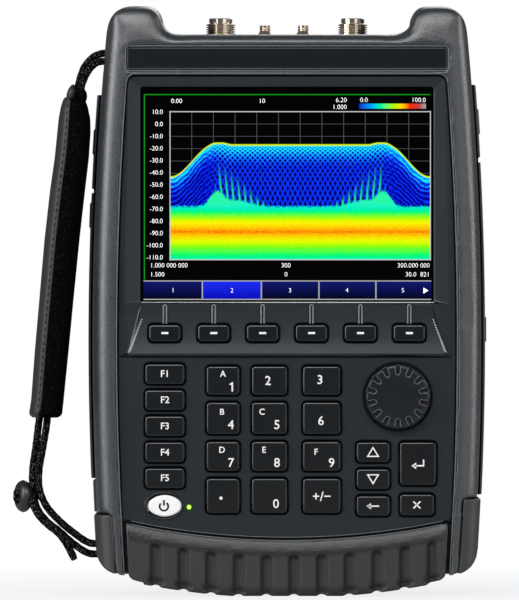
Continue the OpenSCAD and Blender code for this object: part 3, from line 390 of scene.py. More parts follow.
# Finishes: a socket with arithmetic, and a material that adds nodes
def worked(operation, swapped=False):
    """A method that adds one arithmetic node, its own value first or last."""
    def method(self, *others):
        values = (*others, self) if swapped else (self, *others)
        return self.finish.node("ShaderNodeMath", {"operation": operation}, dict(enumerate(values)))
    return method


class Reading:
    """A number or colour read from a node's socket."""

    def __init__(self, finish, socket):
        self.finish = finish
        self.socket = socket

    __add__ = __radd__ = worked("ADD")
    __mul__ = __rmul__ = worked("MULTIPLY")
    __sub__ = worked("SUBTRACT")
    __rsub__ = worked("SUBTRACT", True)
    __truediv__ = worked("DIVIDE")
    __pow__ = worked("POWER")
    __abs__ = worked("ABSOLUTE")
    __gt__ = worked("GREATER_THAN")
    __lt__ = worked("LESS_THAN")
    least = worked("MINIMUM")
    most = worked("MAXIMUM")
    sine = worked("SINE")
    cosine = worked("COSINE")
    fraction = worked("FRACT")
    bare_root = worked("SQRT")

    def root(self):
        """Square root, 0 below zero."""
        return self.most(0.0).bare_root()

    def steps(self, low, high):
        """0 below low, 1 above high, eased between."""
        return self.finish.node("ShaderNodeMapRange", {"interpolation_type": "SMOOTHSTEP"},
                                {"Value": self, "From Min": low, "From Max": high})

    def line(self, middle, half, soft):
        """1 within half of middle, 0 beyond, with a soft edge."""
        return 1.0 - abs(self - middle).steps(half - soft, half + soft)

    def ramp(self, *stops):
        """A colour from stops, each a place and its colour."""
        return self.finish.node("ShaderNodeValToRGB", {"stops": stops}, {"Fac": self})


def tint(code):
    """Linear colour of a six digit colour code."""
    parts = [int(code[i:i + 2], 16) / 255 for i in (0, 2, 4)]
    return tuple(c / 12.92 if c <= 0.04045 else ((c + 0.055) / 1.055) ** 2.4 for c in parts) + (1.0,)


class Finish:
    """A material whose nodes are added by one method."""

    def __init__(self, name, **sockets):
        self.material = bpy.data.materials.new(name)
        self.material.use_nodes = True
        self.tree = self.material.node_tree
        self.shader = self.tree.nodes["Principled BSDF"]
        self.set(**sockets)

    def feed(self, socket, value):
        """Links a reading to a socket, or sets a plain value on it."""
        if isinstance(value, Reading):
            self.tree.links.new(value.socket, socket)
        elif hasattr(value, "__len__") and len(value) == 3 and len(socket.default_value) == 4:
            socket.default_value = tuple(value) + (1.0,)
        else:
            socket.default_value = value

    def node(self, kind, settings=None, inputs=None, output=0):
        """Adds a node with its settings and inputs, and reads one of its outputs."""
        node = self.tree.nodes.new(kind)
        for key, value in (settings or {}).items():
            if key == "stops":
                elements = node.color_ramp.elements
                while len(elements) < len(value):
                    elements.new(0.5)
                for element, (place, colour) in zip(elements, value):
                    element.position = place
                    element.color = colour
            else:
                setattr(node, key, value)
        for key, value in (inputs or {}).items():
            self.feed(node.inputs[key], value)
        return Reading(self, node.outputs[output])

    def set(self, **sockets):
        for key, value in sockets.items():
            self.feed(self.shader.inputs[key.replace("_", " ")], value)
        return self

    def place(self):
        return self.node("ShaderNodeTexCoord", None, None, "Object")

    def axes(self, vector=None, scale=1000.0):
        """Across, in and up on the object, in millimetres."""
        vector = vector or self.place()
        parts = [self.node("ShaderNodeSeparateXYZ", None, {0: vector}, k) for k in range(3)]
        return [part * scale for part in parts]

    def noise(self, scale, detail=2.0, rough=0.5, vector=None):
        return self.node("ShaderNodeTexNoise", None, {
            "Vector": vector or self.place(), "Scale": scale, "Detail": detail, "Roughness": rough})

    def cells(self, scale, output="Distance"):
        return self.node("ShaderNodeTexVoronoi", None, {"Vector": self.place(), "Scale": scale}, output)

    def facets(self, scale):
        """A random level for each small cell."""
        return self.node("ShaderNodeSeparateColor", None, {0: self.cells(scale, "Color")}, 0)

    def blend(self, first, second, share):
        return self.node("ShaderNodeMix", {"data_type": "RGBA"}, {0: share, 6: first, 7: second}, 2)

    def bump(self, height, strength, distance):
        normal = self.node("ShaderNodeBump", None, {
            "Height": height, "Strength": strength, "Distance": distance})
        return self.set(Normal=normal)


def grey(value, warm=0.0):
    """A grey, a little bluish below zero warmth and brownish above."""
    return (value * (1 + warm), value, value * (1 - warm), 1.0)


def moulded(name, tone, warm=-0.06, roughness=0.45, speckle=0.2, height=0.25, level=0.5, grain=1900.0):
    """Grained plastic or rubber: facets with painted glints, slow clouding and a low relief."""
    f = Finish(name, Specular_IOR_Level=level)
    # Bright cells: painted glints in the colour, and really smoother in roughness
    glint = f.facets(grain).steps(0.76, 1.0)
    fine = f.noise(0.8 * grain, 2.0, 0.6)
    cloud = f.noise(38.0, 2.0)
    shade = 0.44 + glint * speckle + (fine - 0.5) * (0.5 * speckle) + (cloud - 0.5) * 0.2
    colour = f.blend(grey(tone * 0.5, warm), grey(tone * 1.5, warm), shade.most(0.0).least(1.0))
    f.set(Base_Color=colour, Roughness=roughness - glint * (0.16 * speckle) + (cloud - 0.5) * 0.08)
    f.bump(fine, height, 0.0002)
    return f.material


# Tone, warmth, roughness, speckle, height of the relief, reflection and grain
case_plastic = moulded("case_plastic", 0.03, -0.14, 0.29, 0.42, 0.6, 0.85, 2500.0)
# Lighter copy of the plastics for thin beads along edges: painted highlights
edge_painted_highlight = moulded("edge_painted_highlight", 0.1, -0.1, 0.26, 0.2, 0.1)
panel_plastic = moulded("panel_plastic", 0.0137, -0.3, 0.36, 0.2, 0.05, 0.4)
key_plastic = moulded("key_plastic", 0.0053, -0.3, 0.25, 0.12, 0.015, 0.45)
knob_rubber = moulded("knob_rubber", 0.008, -0.24, 0.28, 0.14, 0.03, 0.45)
corner_rubber = moulded("corner_rubber", 0.0235, -0.02, 0.46, 0.3, 0.4)
door_plastic = moulded("door_plastic", 0.05, -0.03, 0.42, 0.3, 0.4)
# Near-black finish for beads laid in gaps: painted shade
painted_gap_shade = moulded("painted_gap_shade", 0.0012, 0.0, 0.9, 0.1, 0.0, 0.02)
stand_plastic = moulded("stand_plastic", 0.03, -0.03, 0.45, 0.3, 0.25)
ring_rubber = moulded("ring_rubber", 0.008, 0.0, 0.38, 0.16, 0.12, 0.55)
# Silicone of the key sheet, also near-black beads in gaps as painted shade
silicone = moulded("silicone", 0.002, 0.0, 0.6, 0.1, 0.1, 0.15)
# Pale finish for the rims above the soft keys: painted highlight
trim_painted_highlight = moulded("trim_painted_highlight", 0.15, -0.03, 0.24, 0.1, 0.04)
# Near-white finish for the shelf ribs and the line under the window: painted highlights
rib_painted_highlight = moulded("rib_painted_highlight", 0.5, -0.02, 0.3, 0.1, 0.04)
cap_plastic = moulded("cap_plastic", 0.87, 0.006, 0.35, 0.02, 0.02, 0.4)


def bumper_skin():
    """Grained rubber, smoother along the lip where hands rub it and dull over the flutes."""
    f = Finish("bumper_rubber", Specular_IOR_Level=0.5)
    x, y, z = f.axes()
    below = x * x * (0.5 / BUMPER_BOW) + BUMPER_HEIGHT - z
    dull = below.steps(7.0, 9.5)
    fine = f.noise(1500.0, 2.0, 0.6)
    # The bright cells are painted glints
    shade = f.facets(1900.0).steps(0.76, 1.0) * 0.4 + fine * 0.2 + dull * 0.3
    f.set(Base_Color=f.blend(grey(0.009, -0.06), grey(0.028, -0.03), shade),
          Roughness=0.32 + dull * 0.28 + (fine - 0.5) * 0.06)
    f.bump(fine, 0.7, 0.0002)
    return f.material


bumper_rubber = bumper_skin()


def strip_gloss():
    """The name strip: dark satin film with a fine painted highlight line just inside its edge."""
    f = Finish("strip_gloss", Specular_IOR_Level=0.25)
    low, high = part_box("name_strip")
    x, y, z = f.axes(scale=1.0)
    cloud = f.noise(90.0, 2.0)
    fine = f.noise(2200.0, 1.0)
    across = abs(x - (low[0] + high[0]) / 2) - (high[0] - low[0]) / 2
    upright = abs(z - (low[2] + high[2]) / 2) - (high[2] - low[2]) / 2
    # A pale line just inside the strip's edge: painted highlight
    painted_edge_highlight = across.most(upright).line(-0.8 * MM, 0.24 * MM, 0.06 * MM)
    film = f.blend(grey(0.005, -0.28), grey(0.008, -0.28), cloud * 0.5 + fine * 0.5)
    f.set(Base_Color=f.blend(film, grey(0.075, -0.1), painted_edge_highlight), Roughness=0.28 + (fine - 0.5) * 0.1)
    return f.material


def plated(name, tone, roughness):
    """Metal with a fine grain and a slow wear."""
    f = Finish(name, Metallic=1.0)
    fine = f.noise(900.0, 2.0)
    wear = f.noise(140.0, 3.0)
    dark = tuple(c * 0.82 for c in tone[:3]) + (1.0,)
    f.set(Base_Color=f.blend(dark, tone, wear),
          Roughness=roughness + (fine - 0.5) * 0.12 + (wear - 0.5) * 0.06)
    f.bump(fine, 0.05, 0.00005)
    return f.material


nickel = plated("nickel", (0.82, 0.74, 0.63, 1.0), 0.13)
steel = plated("steel", (0.55, 0.56, 0.57, 1.0), 0.32)
shield_metal = plated("shield_metal", (0.6, 0.61, 0.6, 1.0), 0.42)


def board_green():
    f = Finish("board_green", Roughness=0.45)
    x, y, z = f.axes()
    lines = ((x * 0.9).fraction().line(0.5, 0.14, 0.05) * (f.noise(60.0) > 0.5)).most(
        (z * 0.9).fraction().line(0.5, 0.14, 0.05) * (f.noise(45.0) > 0.55))
    f.set(Base_Color=f.blend(tint("123c28"), tint("1f6a44"), lines), Roughness=0.42 + lines * 0.1)
    return f.material


board = board_green()
battery_skin = moulded("battery_skin", 0.05, -0.2, 0.5, 0.12, 0.1)


def ink(name, tone, warm=0.0, glow=0.0):
    """Printed paint, a little uneven."""
    f = Finish(name, Roughness=0.5, Specular_IOR_Level=0.3)
    fine = f.noise(2600.0, 2.0)
    colour = f.blend(grey(tone * 0.86, warm), grey(tone, warm), fine)
    f.set(Base_Color=colour)
    if glow:
        f.set(Emission_Color=colour, Emission_Strength=glow)
    return f.material


white_ink = ink("white_ink", 0.84)
dark_ink = ink("dark_ink", 0.006)
screen_ink = ink("screen_ink", 0.8, 0.0, 0.9)


# Screen: a level chart in false colours, drawn from where a point lies on the glass
def screen_picture():
    f = Finish("screen_picture", Roughness=0.1, Specular_IOR_Level=0.06, Emission_Strength=1.0)
    x, y, z = f.axes()
    chart_left, chart_width, chart_foot, chart_height = -57.07, 127.07, 164.05, 72.25
    u = (x - chart_left) / chart_width
    v = (z - chart_foot) / chart_height
    side = u.least(1.0 - u)
    inside = (u > 0.0) * (u < 1.0) * (v > 0.0) * (v < 1.0)
    speck = f.facets(2600.0)
    drift = f.noise(160.0, 2.0)

    # Upper contour of the signal and depth below it
    rise = side.steps(0.005, 0.168)
    shoulder = side.line(0.19, 0.03, 0.02)
    contour = 0.565 + rise * 0.216 + shoulder * 0.012
    depth = contour - v
    below = depth.steps(-0.002, 0.004)

    # Crossing arcs in the middle, streaks along the flanks
    bend = depth.root() * 16.5
    turn = 2 * math.pi
    one = ((u * 52.0 + bend) * turn).cosine() * 0.5 + 0.5
    two = ((u * 52.0 - bend) * turn).cosine() * 0.5 + 0.5
    net = (one ** 3.0).most(two ** 3.0)
    knots = one * two
    flank = 1.0 - side.steps(0.10, 0.21)
    streak = ((depth * 30.0 + u * 3.0 + drift * 1.6) * turn).cosine() * 0.5 + 0.5
    mesh = net * (1.0 - flank) + (streak ** 2.0 * 0.75 + speck * 0.25) * flank
    near = 1.0 - depth.steps(0.0, 0.17)
    light = (mesh * (0.42 + near * 0.5) + near ** 4.0 * 0.55 + knots * near * 0.2 + (speck - 0.5) * 0.1)
    blue = light.ramp((0.0, tint("00003a")), (0.16, tint("0000c8")), (0.42, tint("0a3cff")),
                      (0.68, tint("00a8ff")), (0.95, tint("10f0f0")))
    edge = depth.line(0.004, 0.008, 0.005)
    body = f.blend(blue, tint("d8f000"), edge)

    # Bright lines that stand on the noise floor at both sides
    lean = ((side * 44.0 + (v - 0.36) * 2.2 + drift * 0.3) * turn).cosine() * 0.5 + 0.5
    reach = 0.36 + 0.34 * (1.0 - side.steps(0.15, 0.42))
    spikes = (lean ** 5.0) * 1.5 * (1.0 - v.steps(0.36, reach))
    spikes = spikes * side.steps(0.17, 0.185) * (1.0 - side.steps(0.33, 0.41))
    body = f.blend(body, tint("20f080"), (spikes * (0.7 + speck * 0.6)).least(1.0))

    # Noise floor in bands, with low humps under the bright lines
    hump = side.line(0.178, 0.028, 0.026) * 0.07 + side.line(0.235, 0.075, 0.07) * 0.045
    grainy = (speck - 0.5) * 0.022 + (drift - 0.5) * 0.006
    level = v + grainy
    bands = level.ramp((0.0, tint("00f0b8")), (0.035, tint("00ff60")), (0.085, tint("78ff08")),
                       (0.125, tint("e8ff00")), (0.165, tint("ffc800")), (0.19, tint("ff8a00")),
                       (0.215, tint("ffc800")), (0.25, tint("fff600")), (0.285, tint("98ff00")),
                       (0.315, tint("00ff58")), (0.345, tint("00f0c0")), (0.40, tint("10f8e0")))
    dots = v.line(0.187, 0.006, 0.003) * (f.noise(1500.0, 1.0) > 0.56)
    bands = f.blend(bands, tint("ff2c00"), dots)
    crest = hump.steps(0.004, 0.06) * v.steps(0.33, 0.4) * (0.55 + speck * 0.4)
    mound = f.blend(bands, tint("30f890"), crest)
    floor_top = 0.358 + hump + (speck - 0.5) * 0.016
    signal = f.blend(body, mound, (floor_top - v).steps(-0.006, 0.006))

    # Grid and frame of the chart
    column = (u * 12.0 + 0.5).fraction().line(0.5, 0.010, 0.01)
    row = (v * 12.0 + 0.5).fraction().line(0.5, 0.015, 0.014)
    grid = f.blend(grey(0.0), grey(0.11), column.most(row))
    chart = f.blend(grid, signal, below)
    uprights = u.line(0.0, 0.0017, 0.001).most(u.line(1.0, 0.0017, 0.001)) * v.line(0.5, 0.505, 0.001)
    levels = v.line(0.0, 0.003, 0.0015).most(v.line(1.0, 0.003, 0.0015)) * u.line(0.5, 0.502, 0.001)
    picture = f.blend(grey(0.0), chart, inside)
    picture = f.blend(picture, grey(0.62), uprights.most(levels))

    # Scale bar, green border and the soft keys' bar
    scale = (x - 35.1) / 32.7
    bar = scale.ramp((0.0, tint("0018c0")), (0.18, tint("00a0ff")), (0.34, tint("00ff90")),
                     (0.5, tint("a0ff00")), (0.62, tint("ffe000")), (0.76, tint("ff2000")),
                     (0.9, tint("c04040")), (1.0, tint("a0a0a0")))
    picture = f.blend(picture, bar, scale.line(0.5, 0.5, 0.004) * z.line(239.0, 1.25, 0.1))
    top_line = z.line(244.65, 0.2, 0.08) * x.line(0.1, 69.8, 0.1)
    left_line = x.line(-69.6, 0.2, 0.08) * z.line(199.5, 45.3, 0.1)
    picture = f.blend(picture, tint("0aa80a"), top_line.most(left_line))
    menu = z.line(149.2, 4.55, 0.1) * x.line(0.2, 70.2, 0.1)
    fade = (z - 144.7) / 9.0
    second = x.line(-26.9, 14.4, 0.1)
    button = f.blend(tint("000014"), tint("10186a"), fade)
    lit_button = f.blend(tint("0404b8"), tint("1a2cf4"), fade)
    picture = f.blend(picture, f.blend(button, lit_button, second), menu)
    gaps = x.line(-41.3, 0.3, 0.1)
    for place in (-12.5, 15.6, 43.4):
        gaps = gaps.most(x.line(place, 0.3, 0.1))
    rim = z.line(153.7, 0.25, 0.1).most(z.line(144.7, 0.25, 0.1)) * x.line(0.2, 70.2, 0.1)
    picture = f.blend(picture, grey(0.42), (gaps * menu).most(rim))
    f.set(Base_Color=grey(0.0006), Emission_Color=picture)
    return f.material


screen_glass = screen_picture()


# Strap: routes after the solid model's, in millimetres
FRONT_Y, REAR_Y, TAIL_Y = -23.7, -19.3, -28.1
front_route = [
    (-87, 261.2), (-92, 260.8), (-95.2, 258.8), (-97.6, 255.6), (-99.4, 251.9), (-101, 246), (-103.8, 226),
    (-107.3, 198), (-110.6, 168), (-113.6, 136), (-116.4, 102), (-117.2, 86), (-119.2, 73), (-121.2, 61),
    (-121, 52), (-117.8, 44), (-112, 37.2), (-104.5, 30.8), (-96.5, 25.7), (-88.6, 25.6)]
rear_route = [
    (-86, 265.2), (-90.6, 265), (-94.6, 263.4), (-97.6, 260.4), (-100, 256.4), (-102.4, 247), (-104.6, 226),
    (-108, 198), (-111.4, 168), (-115, 136), (-119, 102), (-121.2, 86), (-122.8, 73), (-124.4, 61),
    (-124.2, 50), (-122, 42), (-117.4, 36), (-111.6, 31.4), (-104.8, 25.4), (-97, 20.5), (-88.6, 20.4)]
tail_route = [
    (-124.6, REAR_Y - 3, 49), (-124.2, TAIL_Y + 1, 45.4), (-121.4, TAIL_Y, 39.6), (-116.6, TAIL_Y, 34.6),
    (-111.6, TAIL_Y, 30.6), (-108, TAIL_Y, 26), (-105.6, TAIL_Y, 21.6), (-103.6, TAIL_Y, 17.4)]
RING_AT = Vector((-129.0, REAR_Y, 48.4)) * MM
KNOT_AT = RING_AT - Vector((2.5, 1.0, 0)) * MM
CORD_R = 1.85 * MM
PLAIT = 4.2


def eased(points, step):
    """Even points on a smooth curve through the given ones."""
    dense = []
    count = len(points)
    for i in range(count - 1):
        before, a, b, after = points[max(i - 1, 0)], points[i], points[i + 1], points[min(i + 2, count - 1)]
        for k in range(24):
            t = k / 24
            dense.append(0.5 * (2 * a + (b - before) * t + (2 * before - 5 * a + 4 * b - after) * t ** 2
                                + (3 * a - before - 3 * b + after) * t ** 3))
    dense.append(points[-1])
    even = [dense[0]]
    left = step
    for a, b in zip(dense, dense[1:]):
        span = (b - a).length
        while span >= left and span > 0:
            a = a + (b - a) * (left / span)
            even.append(a)
            span = (b - a).length
            left = step
        left -= span
    if (even[-1] - dense[-1]).length > step * 0.3:
        even.append(dense[-1])
    return even


def braided_tube(name, path, radius, around=32, blunt=False):
    """A braided cord: a tube whose skin carries eight crossing strands."""
    points, faces, loops = [], [], []
    side = Vector((0, 1, 0))
    travel = 0.0
    for i, p in enumerate(path):
        ahead = (path[min(i + 1, len(path) - 1)] - path[max(i - 1, 0)]).normalized()
        side = (side - ahead * side.dot(ahead)).normalized()
        over = ahead.cross(side)
        if i:
            travel += (p - path[i - 1]).length
        to_end = len(path) - 1 - i
        cap = math.sqrt(max(0.0, 1 - ((5 - to_end) / 5.5) ** 2)) if blunt and to_end < 5 else 1.0
        wave = 2 * math.pi * travel / (PLAIT * MM)
        for k, angle in enumerate(circle(around)):
            strand = max(math.cos(4 * angle + wave), math.cos(4 * angle - wave))
            reach = radius * cap * (0.97 + 0.03 * strand)
            points.append(p + (side * math.sin(angle) + over * math.cos(angle)) * reach)
            loops.append((travel / MM, k / around))
    rings = len(path)
    for i in range(rings - 1):
        for k in range(around):
            n = (k + 1) % around
            faces.append((i * around + k, (i + 1) * around + k, (i + 1) * around + n, i * around + n))
    faces.append(tuple(range(around)))
    faces.append(tuple(reversed(range((rings - 1) * around, rings * around))))
    piece = from_points(name, points, faces)
    layer = piece.data.uv_layers.new(name="along")
    for polygon in piece.data.polygons:
        ends = [loops[v][1] for v in polygon.vertices]
        for loop in polygon.loop_indices:
            length, turn = loops[piece.data.loops[loop].vertex_index]
            closing = turn == 0 and max(ends) > 0.5 and len(ends) == 4
            layer.data[loop].uv = (length, 1.0 if closing else turn)
    edit_all(piece)
    bpy.ops.mesh.normals_make_consistent(inside=False)
    bpy.ops.object.mode_set(mode="OBJECT")
    return all_smooth(piece)


def cord_braid():
    """Black braid with fine threads, a few pale flecks and painted shade between the strands."""
    f = Finish("cord_braid", Specular_IOR_Level=0.06)
    uv = f.node("ShaderNodeTexCoord", None, None, "UV")
    along, turn = f.axes(uv, 1.0)[:2]
    wave = along * (2 * math.pi / PLAIT)
    angle = turn * (8 * math.pi)
    one = (angle + wave).cosine()
    two = (angle - wave).cosine()
    plait = one.most(two)
    threads = ((along * 9.0 + turn * 26.0) * 2.0).sine() * 0.5 + 0.5
    marks = f.noise(1.0, 0.0, vector=f.node("ShaderNodeCombineXYZ", None, {0: along * 1.9, 1: turn * 21.0}))
    fleck = marks.steps(0.68, 0.76)
    # Darker between the strands and lighter on their crests: painted shade
    dark = f.blend(grey(0.0003), grey(0.0018), plait.steps(-0.2, 1.0) * 0.7 + threads * 0.3)
    f.set(Base_Color=f.blend(dark, grey(0.26, 0.02), fleck), Roughness=0.85 + threads * 0.1)
    f.bump(plait * 0.8 + threads * 0.25, 0.5, 0.0002)
    return f.material


braid = cord_braid()


def route(points, y):
    return [Vector((x, y, z)) * MM for x, z in points]


front_path = eased(route(front_route, FRONT_Y), 0.45 * MM)
rear_path = eased(route(rear_route, REAR_Y), 0.45 * MM)
tail_path = eased([Vector(p) * MM for p in tail_route], 0.45 * MM)
front_cord = finished(braided_tube("strap_front_cord", front_path, CORD_R), braid, CASE)
rear_cord = finished(braided_tube("strap_rear_cord", rear_path, CORD_R), braid, CASE,
                     ["strap_cord"])
tail_cord = finished(braided_tube("strap_cord_end", tail_path, CORD_R, blunt=True), braid, CASE)


# Knot against the ring, and the moulded rubber ring
def knot_path():
    path = []
    for i in range(73):
        t = 2 * math.pi * i / 72
        swing = 2 + math.cos(3 * t)
        path.append(KNOT_AT + Vector((0.95 * math.sin(3 * t), 0.82 * swing * math.cos(2 * t),
                                      0.82 * swing * math.sin(2 * t))) * MM)
    stem = [KNOT_AT + Vector((s, 0, 0)) * MM for s in (2.2, 4.2, 6.2, 8.2, 10.4)]
    return path, stem


turns, stem = knot_path()
knot = joined([braided_tube("strap_knot", eased(turns, 0.4 * MM), 1.5 * MM, 20),
               braided_tube("strap_knot_stem", eased(stem, 0.4 * MM), 1.7 * MM, 20)], "strap_knot")
finished(knot, braid, CASE)


def rubber_ring():
    bpy.ops.object.select_all(action="DESELECT")
    bpy.ops.mesh.primitive_torus_add(major_radius=4.5 * MM, minor_radius=3.3 * MM, major_segments=72,
                                     minor_segments=36, location=RING_AT, rotation=(0, math.pi / 2, 0))
    ring = set_down(bpy.context.object)
    ring.name = "strap_ring_moulded"
    for vertex in ring.data.vertices:
        away = vertex.co - RING_AT
        out = math.hypot(away.y, away.z)
        if out > 7.2 * MM and abs(away.x) < 0.42 * MM:
            vertex.co += Vector((0, away.y, away.z)).normalized() * 0.16 * MM
        squeeze = 1 - 0.1 * max(0.0, (out - 4.5 * MM) / (3.3 * MM))
        away = vertex.co - RING_AT
        flat = Vector((away.x * squeeze, away.y, away.z))
        flat.rotate(Quaternion((0, 0, 1), math.radians(20)))
        vertex.co = RING_AT + flat
    return finished(all_smooth(ring), ring_rubber, CASE, ["strap_ring"])


ring = rubber_ring()


# Padded grip: middle across, height, half thickness, half depth
grip_sections = [
    (-103.9, 243.6, 4.6, 7), (-104.1, 242.6, 5.3, 8.2), (-104, 239, 6.6, 10), (-103.9, 233, 7.8, 11.4),
    (-104.2, 226, 8.2, 12), (-105.2, 214, 8.4, 12.5), (-107.3, 198, 8.6, 12.5), (-110, 174, 8.6, 12.5),
    (-112.8, 144, 8.4, 12.5), (-115, 120, 8.3, 12.5), (-117.1, 96, 8, 12.2), (-117.8, 90.6, 8.1, 12),
    (-118, 88.4, 7.9, 11.5), (-118.1, 87.2, 7.1, 10.2), (-118.1, 86.8, 6, 8.8)]
STRAP_Y = -21.5
SEAM = -0.36
GRIP_AROUND = 56
SQUARENESS = 0.82


def section_at(height):
    """Middle, half thickness and half depth of the grip at a height."""
    height = min(max(height, grip_sections[-1][1]), grip_sections[0][1])
    for a, b in zip(grip_sections, grip_sections[1:]):
        if b[1] <= height <= a[1]:
            t = (a[1] - height) / (a[1] - b[1])
            return [a[k] + (b[k] - a[k]) * t for k in (0, 2, 3)]


def grip_reach(deep, share):
    """Half depth of the grip at a share of its half thickness."""
    return deep * (1 - abs(share) ** (2 / SQUARENESS)) ** (SQUARENESS / 2)


def padded_grip(vinyl, fabric):
    """The pad: a squared tube in two materials, drawn in and puckered along the seam, with a hem below."""
    rng = random.Random(7)
    points, faces = [], []
    rows = 170
    top, low = grip_sections[0][1], grip_sections[-1][1]
    puckers = [rng.uniform(-1, 1) for _ in range(rows + 3)]
    for i in range(rows + 1):
        z = top + (low - top) * i / rows
        middle, thick, deep = section_at(z)
        hem = 1.0 if 1.5 < z - low < 3.6 else 0.0
        for angle in circle(GRIP_AROUND):
            c, s = math.cos(angle), math.sin(angle)
            x = math.copysign(abs(c) ** SQUARENESS, c)
            y = math.copysign(abs(s) ** SQUARENESS, s)
            near = min(abs(x - SEAM) / 0.09, 1.0)
            sink = 0.55 * (1 - near ** 2) * (0.75 + 0.25 * puckers[i])
            swell = 1 + 0.012 * puckers[i] * (1 - near) + 0.02 * hem
            points.append(Vector((middle + thick * swell * x, STRAP_Y + (deep * swell - sink) * y, z)) * MM)
    for i in range(rows):
        here, below = i * GRIP_AROUND, (i + 1) * GRIP_AROUND
        for k in range(GRIP_AROUND):
            n = (k + 1) % GRIP_AROUND
            faces.append((here + k, here + n, below + n, below + k))
    faces.append(tuple(reversed(range(GRIP_AROUND))))
    faces.append(tuple(range(rows * GRIP_AROUND, (rows + 1) * GRIP_AROUND)))
    piece = outward(from_points("strap_grip_pad", points, faces))
    all_smooth(applied(piece, "ease", "SMOOTH", iterations=2, factor=0.4))
    piece.data.materials.append(vinyl)
    piece.data.materials.append(fabric)
    for polygon in piece.data.polygons:
        middle, thick, deep = section_at(polygon.center.z / MM)
        polygon.material_index = 1 if (polygon.center.x / MM - middle) / thick > SEAM else 0
    return piece


def stitches(finish):
    """A row of short thread stitches beside the seam, front and back."""
    pieces = []
    top, foot, step = 239.0, 92, 3.4
    for facing in (-1, 1):
        z = top
        while z > foot:
            middle, thick, deep = section_at(z)
            x = middle + thick * (SEAM - 0.13)
            reach = grip_reach(deep, SEAM - 0.13)
            bpy.ops.mesh.primitive_uv_sphere_add(segments=6, ring_count=4, radius=0.32 * MM,
                                                 location=Vector((x, STRAP_Y + facing * reach, z)) * MM,
                                                 rotation=(0, math.radians(7), 0), scale=(1, 1, 3.6))
            pieces.append(bpy.context.object)
            z -= step
    made = set_down(joined(pieces, "strap_grip_stitches"))
    return finished(made, finish, CASE)


def grip_vinyl():
    f = Finish("grip_vinyl", Specular_IOR_Level=0.4)
    fine = f.cells(900.0)
    cloud = f.noise(60.0, 3.0)
    f.set(Base_Color=f.blend(grey(0.013), grey(0.024), cloud),
          Roughness=0.44 + (cloud - 0.5) * 0.2 + fine * 0.1)
    f.bump(fine + f.noise(400.0, 2.0) * 0.8, 0.18, 0.00012)
    return f.material


def grip_fabric():
    f = Finish("grip_fabric", Specular_IOR_Level=0.03)
    x, y, z = f.axes()
    weave = ((x + y) * 5.0).sine() * (z * 5.0).sine()
    fuzz = f.noise(900.0, 4.0, 0.7)
    fleck = f.noise(1600.0, 1.0).steps(0.62, 0.7)
    cloth = f.blend(grey(0.0006), grey(0.0022), fuzz * 0.7 + weave * 0.2)
    f.set(Base_Color=f.blend(cloth, grey(0.013), fleck), Roughness=0.95 + (fuzz - 0.5) * 0.1)
    f.bump(fuzz + weave * 0.4, 0.6, 0.0003)
    return f.material


grip = padded_grip(grip_vinyl(), grip_fabric())
finished(grip, None, CASE, ["strap_grip"])
stitches(ink("thread", 0.002))


def piping(finish):
    """A thin cord of vinyl sewn into the seam, front and back."""
    pieces = []
    for facing in (-1, 1):
        points = []
        for z in spread(242.0, 90.0, 60):
            middle, thick, deep = section_at(z)
            reach = grip_reach(deep, SEAM) - 0.25
            points.append(Vector((middle + thick * SEAM, STRAP_Y + facing * reach, z)) * MM)
        pieces.append(bead("piping", points, 0.55 * MM))
    return finished(joined(pieces, "strap_grip_piping"), finish, CASE)


piping(grip.data.materials[0])


def grip_lobe(name, finish, centre, size, lean):
    """A folded end of the cover beside the cords: a soft pad, pinched along its crown."""
    bpy.ops.object.select_all(action="DESELECT")
    bpy.ops.mesh.primitive_uv_sphere_add(segments=28, ring_count=18, radius=1.0)
    lobe = bpy.context.object
    for vertex in lobe.data.vertices:
        x, y, z = vertex.co
        square = 1 + 0.16 * (1 - abs(z)) * abs(x * y)
        pinch = 1 - 0.15 * max(z, 0) ** 2
        vertex.co = Vector((x * square * pinch * size[0] + lean * z, y * square * size[1], z * size[2]))
        vertex.co = (vertex.co + Vector(centre)) * MM
    lobe.name = name
    return finished(all_smooth(lobe), finish, CASE)


grip_lobe("strap_grip_vinyl_end", grip.data.materials[0],
          (-105.4, STRAP_Y - 3.5, 245.2), (2.2, 4.8, 4.6), 0.9)
grip_lobe("strap_grip_fabric_end", grip.data.materials[1],
          (-99.9, STRAP_Y - 2.5, 243.8), (2.2, 5.2, 4.0), 0.2)


# Casing, panels and rubber from the solid model, with their edges rounded
def rounded_copy(node, name, finish, body, width, pierced=False):
    piece = round_edges(copy_of(node, name, pierced), width)
    return finished(piece, finish, body, [node])


def seam_place(z):
    """Distance across of the seam between a rail and the corner rubber."""
    return 83.5 + (z - 11) * 0.0755


def away_from_seam(x, z):
    """0 beside that seam, 1 elsewhere, so that the seam stays crisp."""
    return max(within(abs(abs(x) - seam_place(z)), 0.7, 1.5), within(z, 40.5, 42))


def gap_line(piece, rims):
    """A near-black bead in the gap between the frame's opening and the panels in it: painted shade."""
    mould = piece.copy()
    mould.data = piece.data.copy()
    into = {}
    for polygon in mould.data.polygons:
        if abs(polygon.normal.y) < 0.4:
            for v in polygon.vertices:
                into[v] = into.get(v, Vector()) + polygon.normal * polygon.area
    foot, crown = 37, 256
    heights = {v: mould.data.vertices[v].co.z / MM for edge in rims for v in edge}
    around = [edge for edge in rims if all(foot < heights[v] < crown for v in edge)]
    for v in {v for edge in around for v in edge}:
        mould.data.vertices[v].co += into[v].normalized() * 0.52 * MM
    line = beads_along("panel_gap_line", mould, around, 0.5 * MM, Vector((0, 1.5, 0)) * MM)
    bpy.data.objects.remove(mould)
    finished(line, painted_gap_shade, CASE)


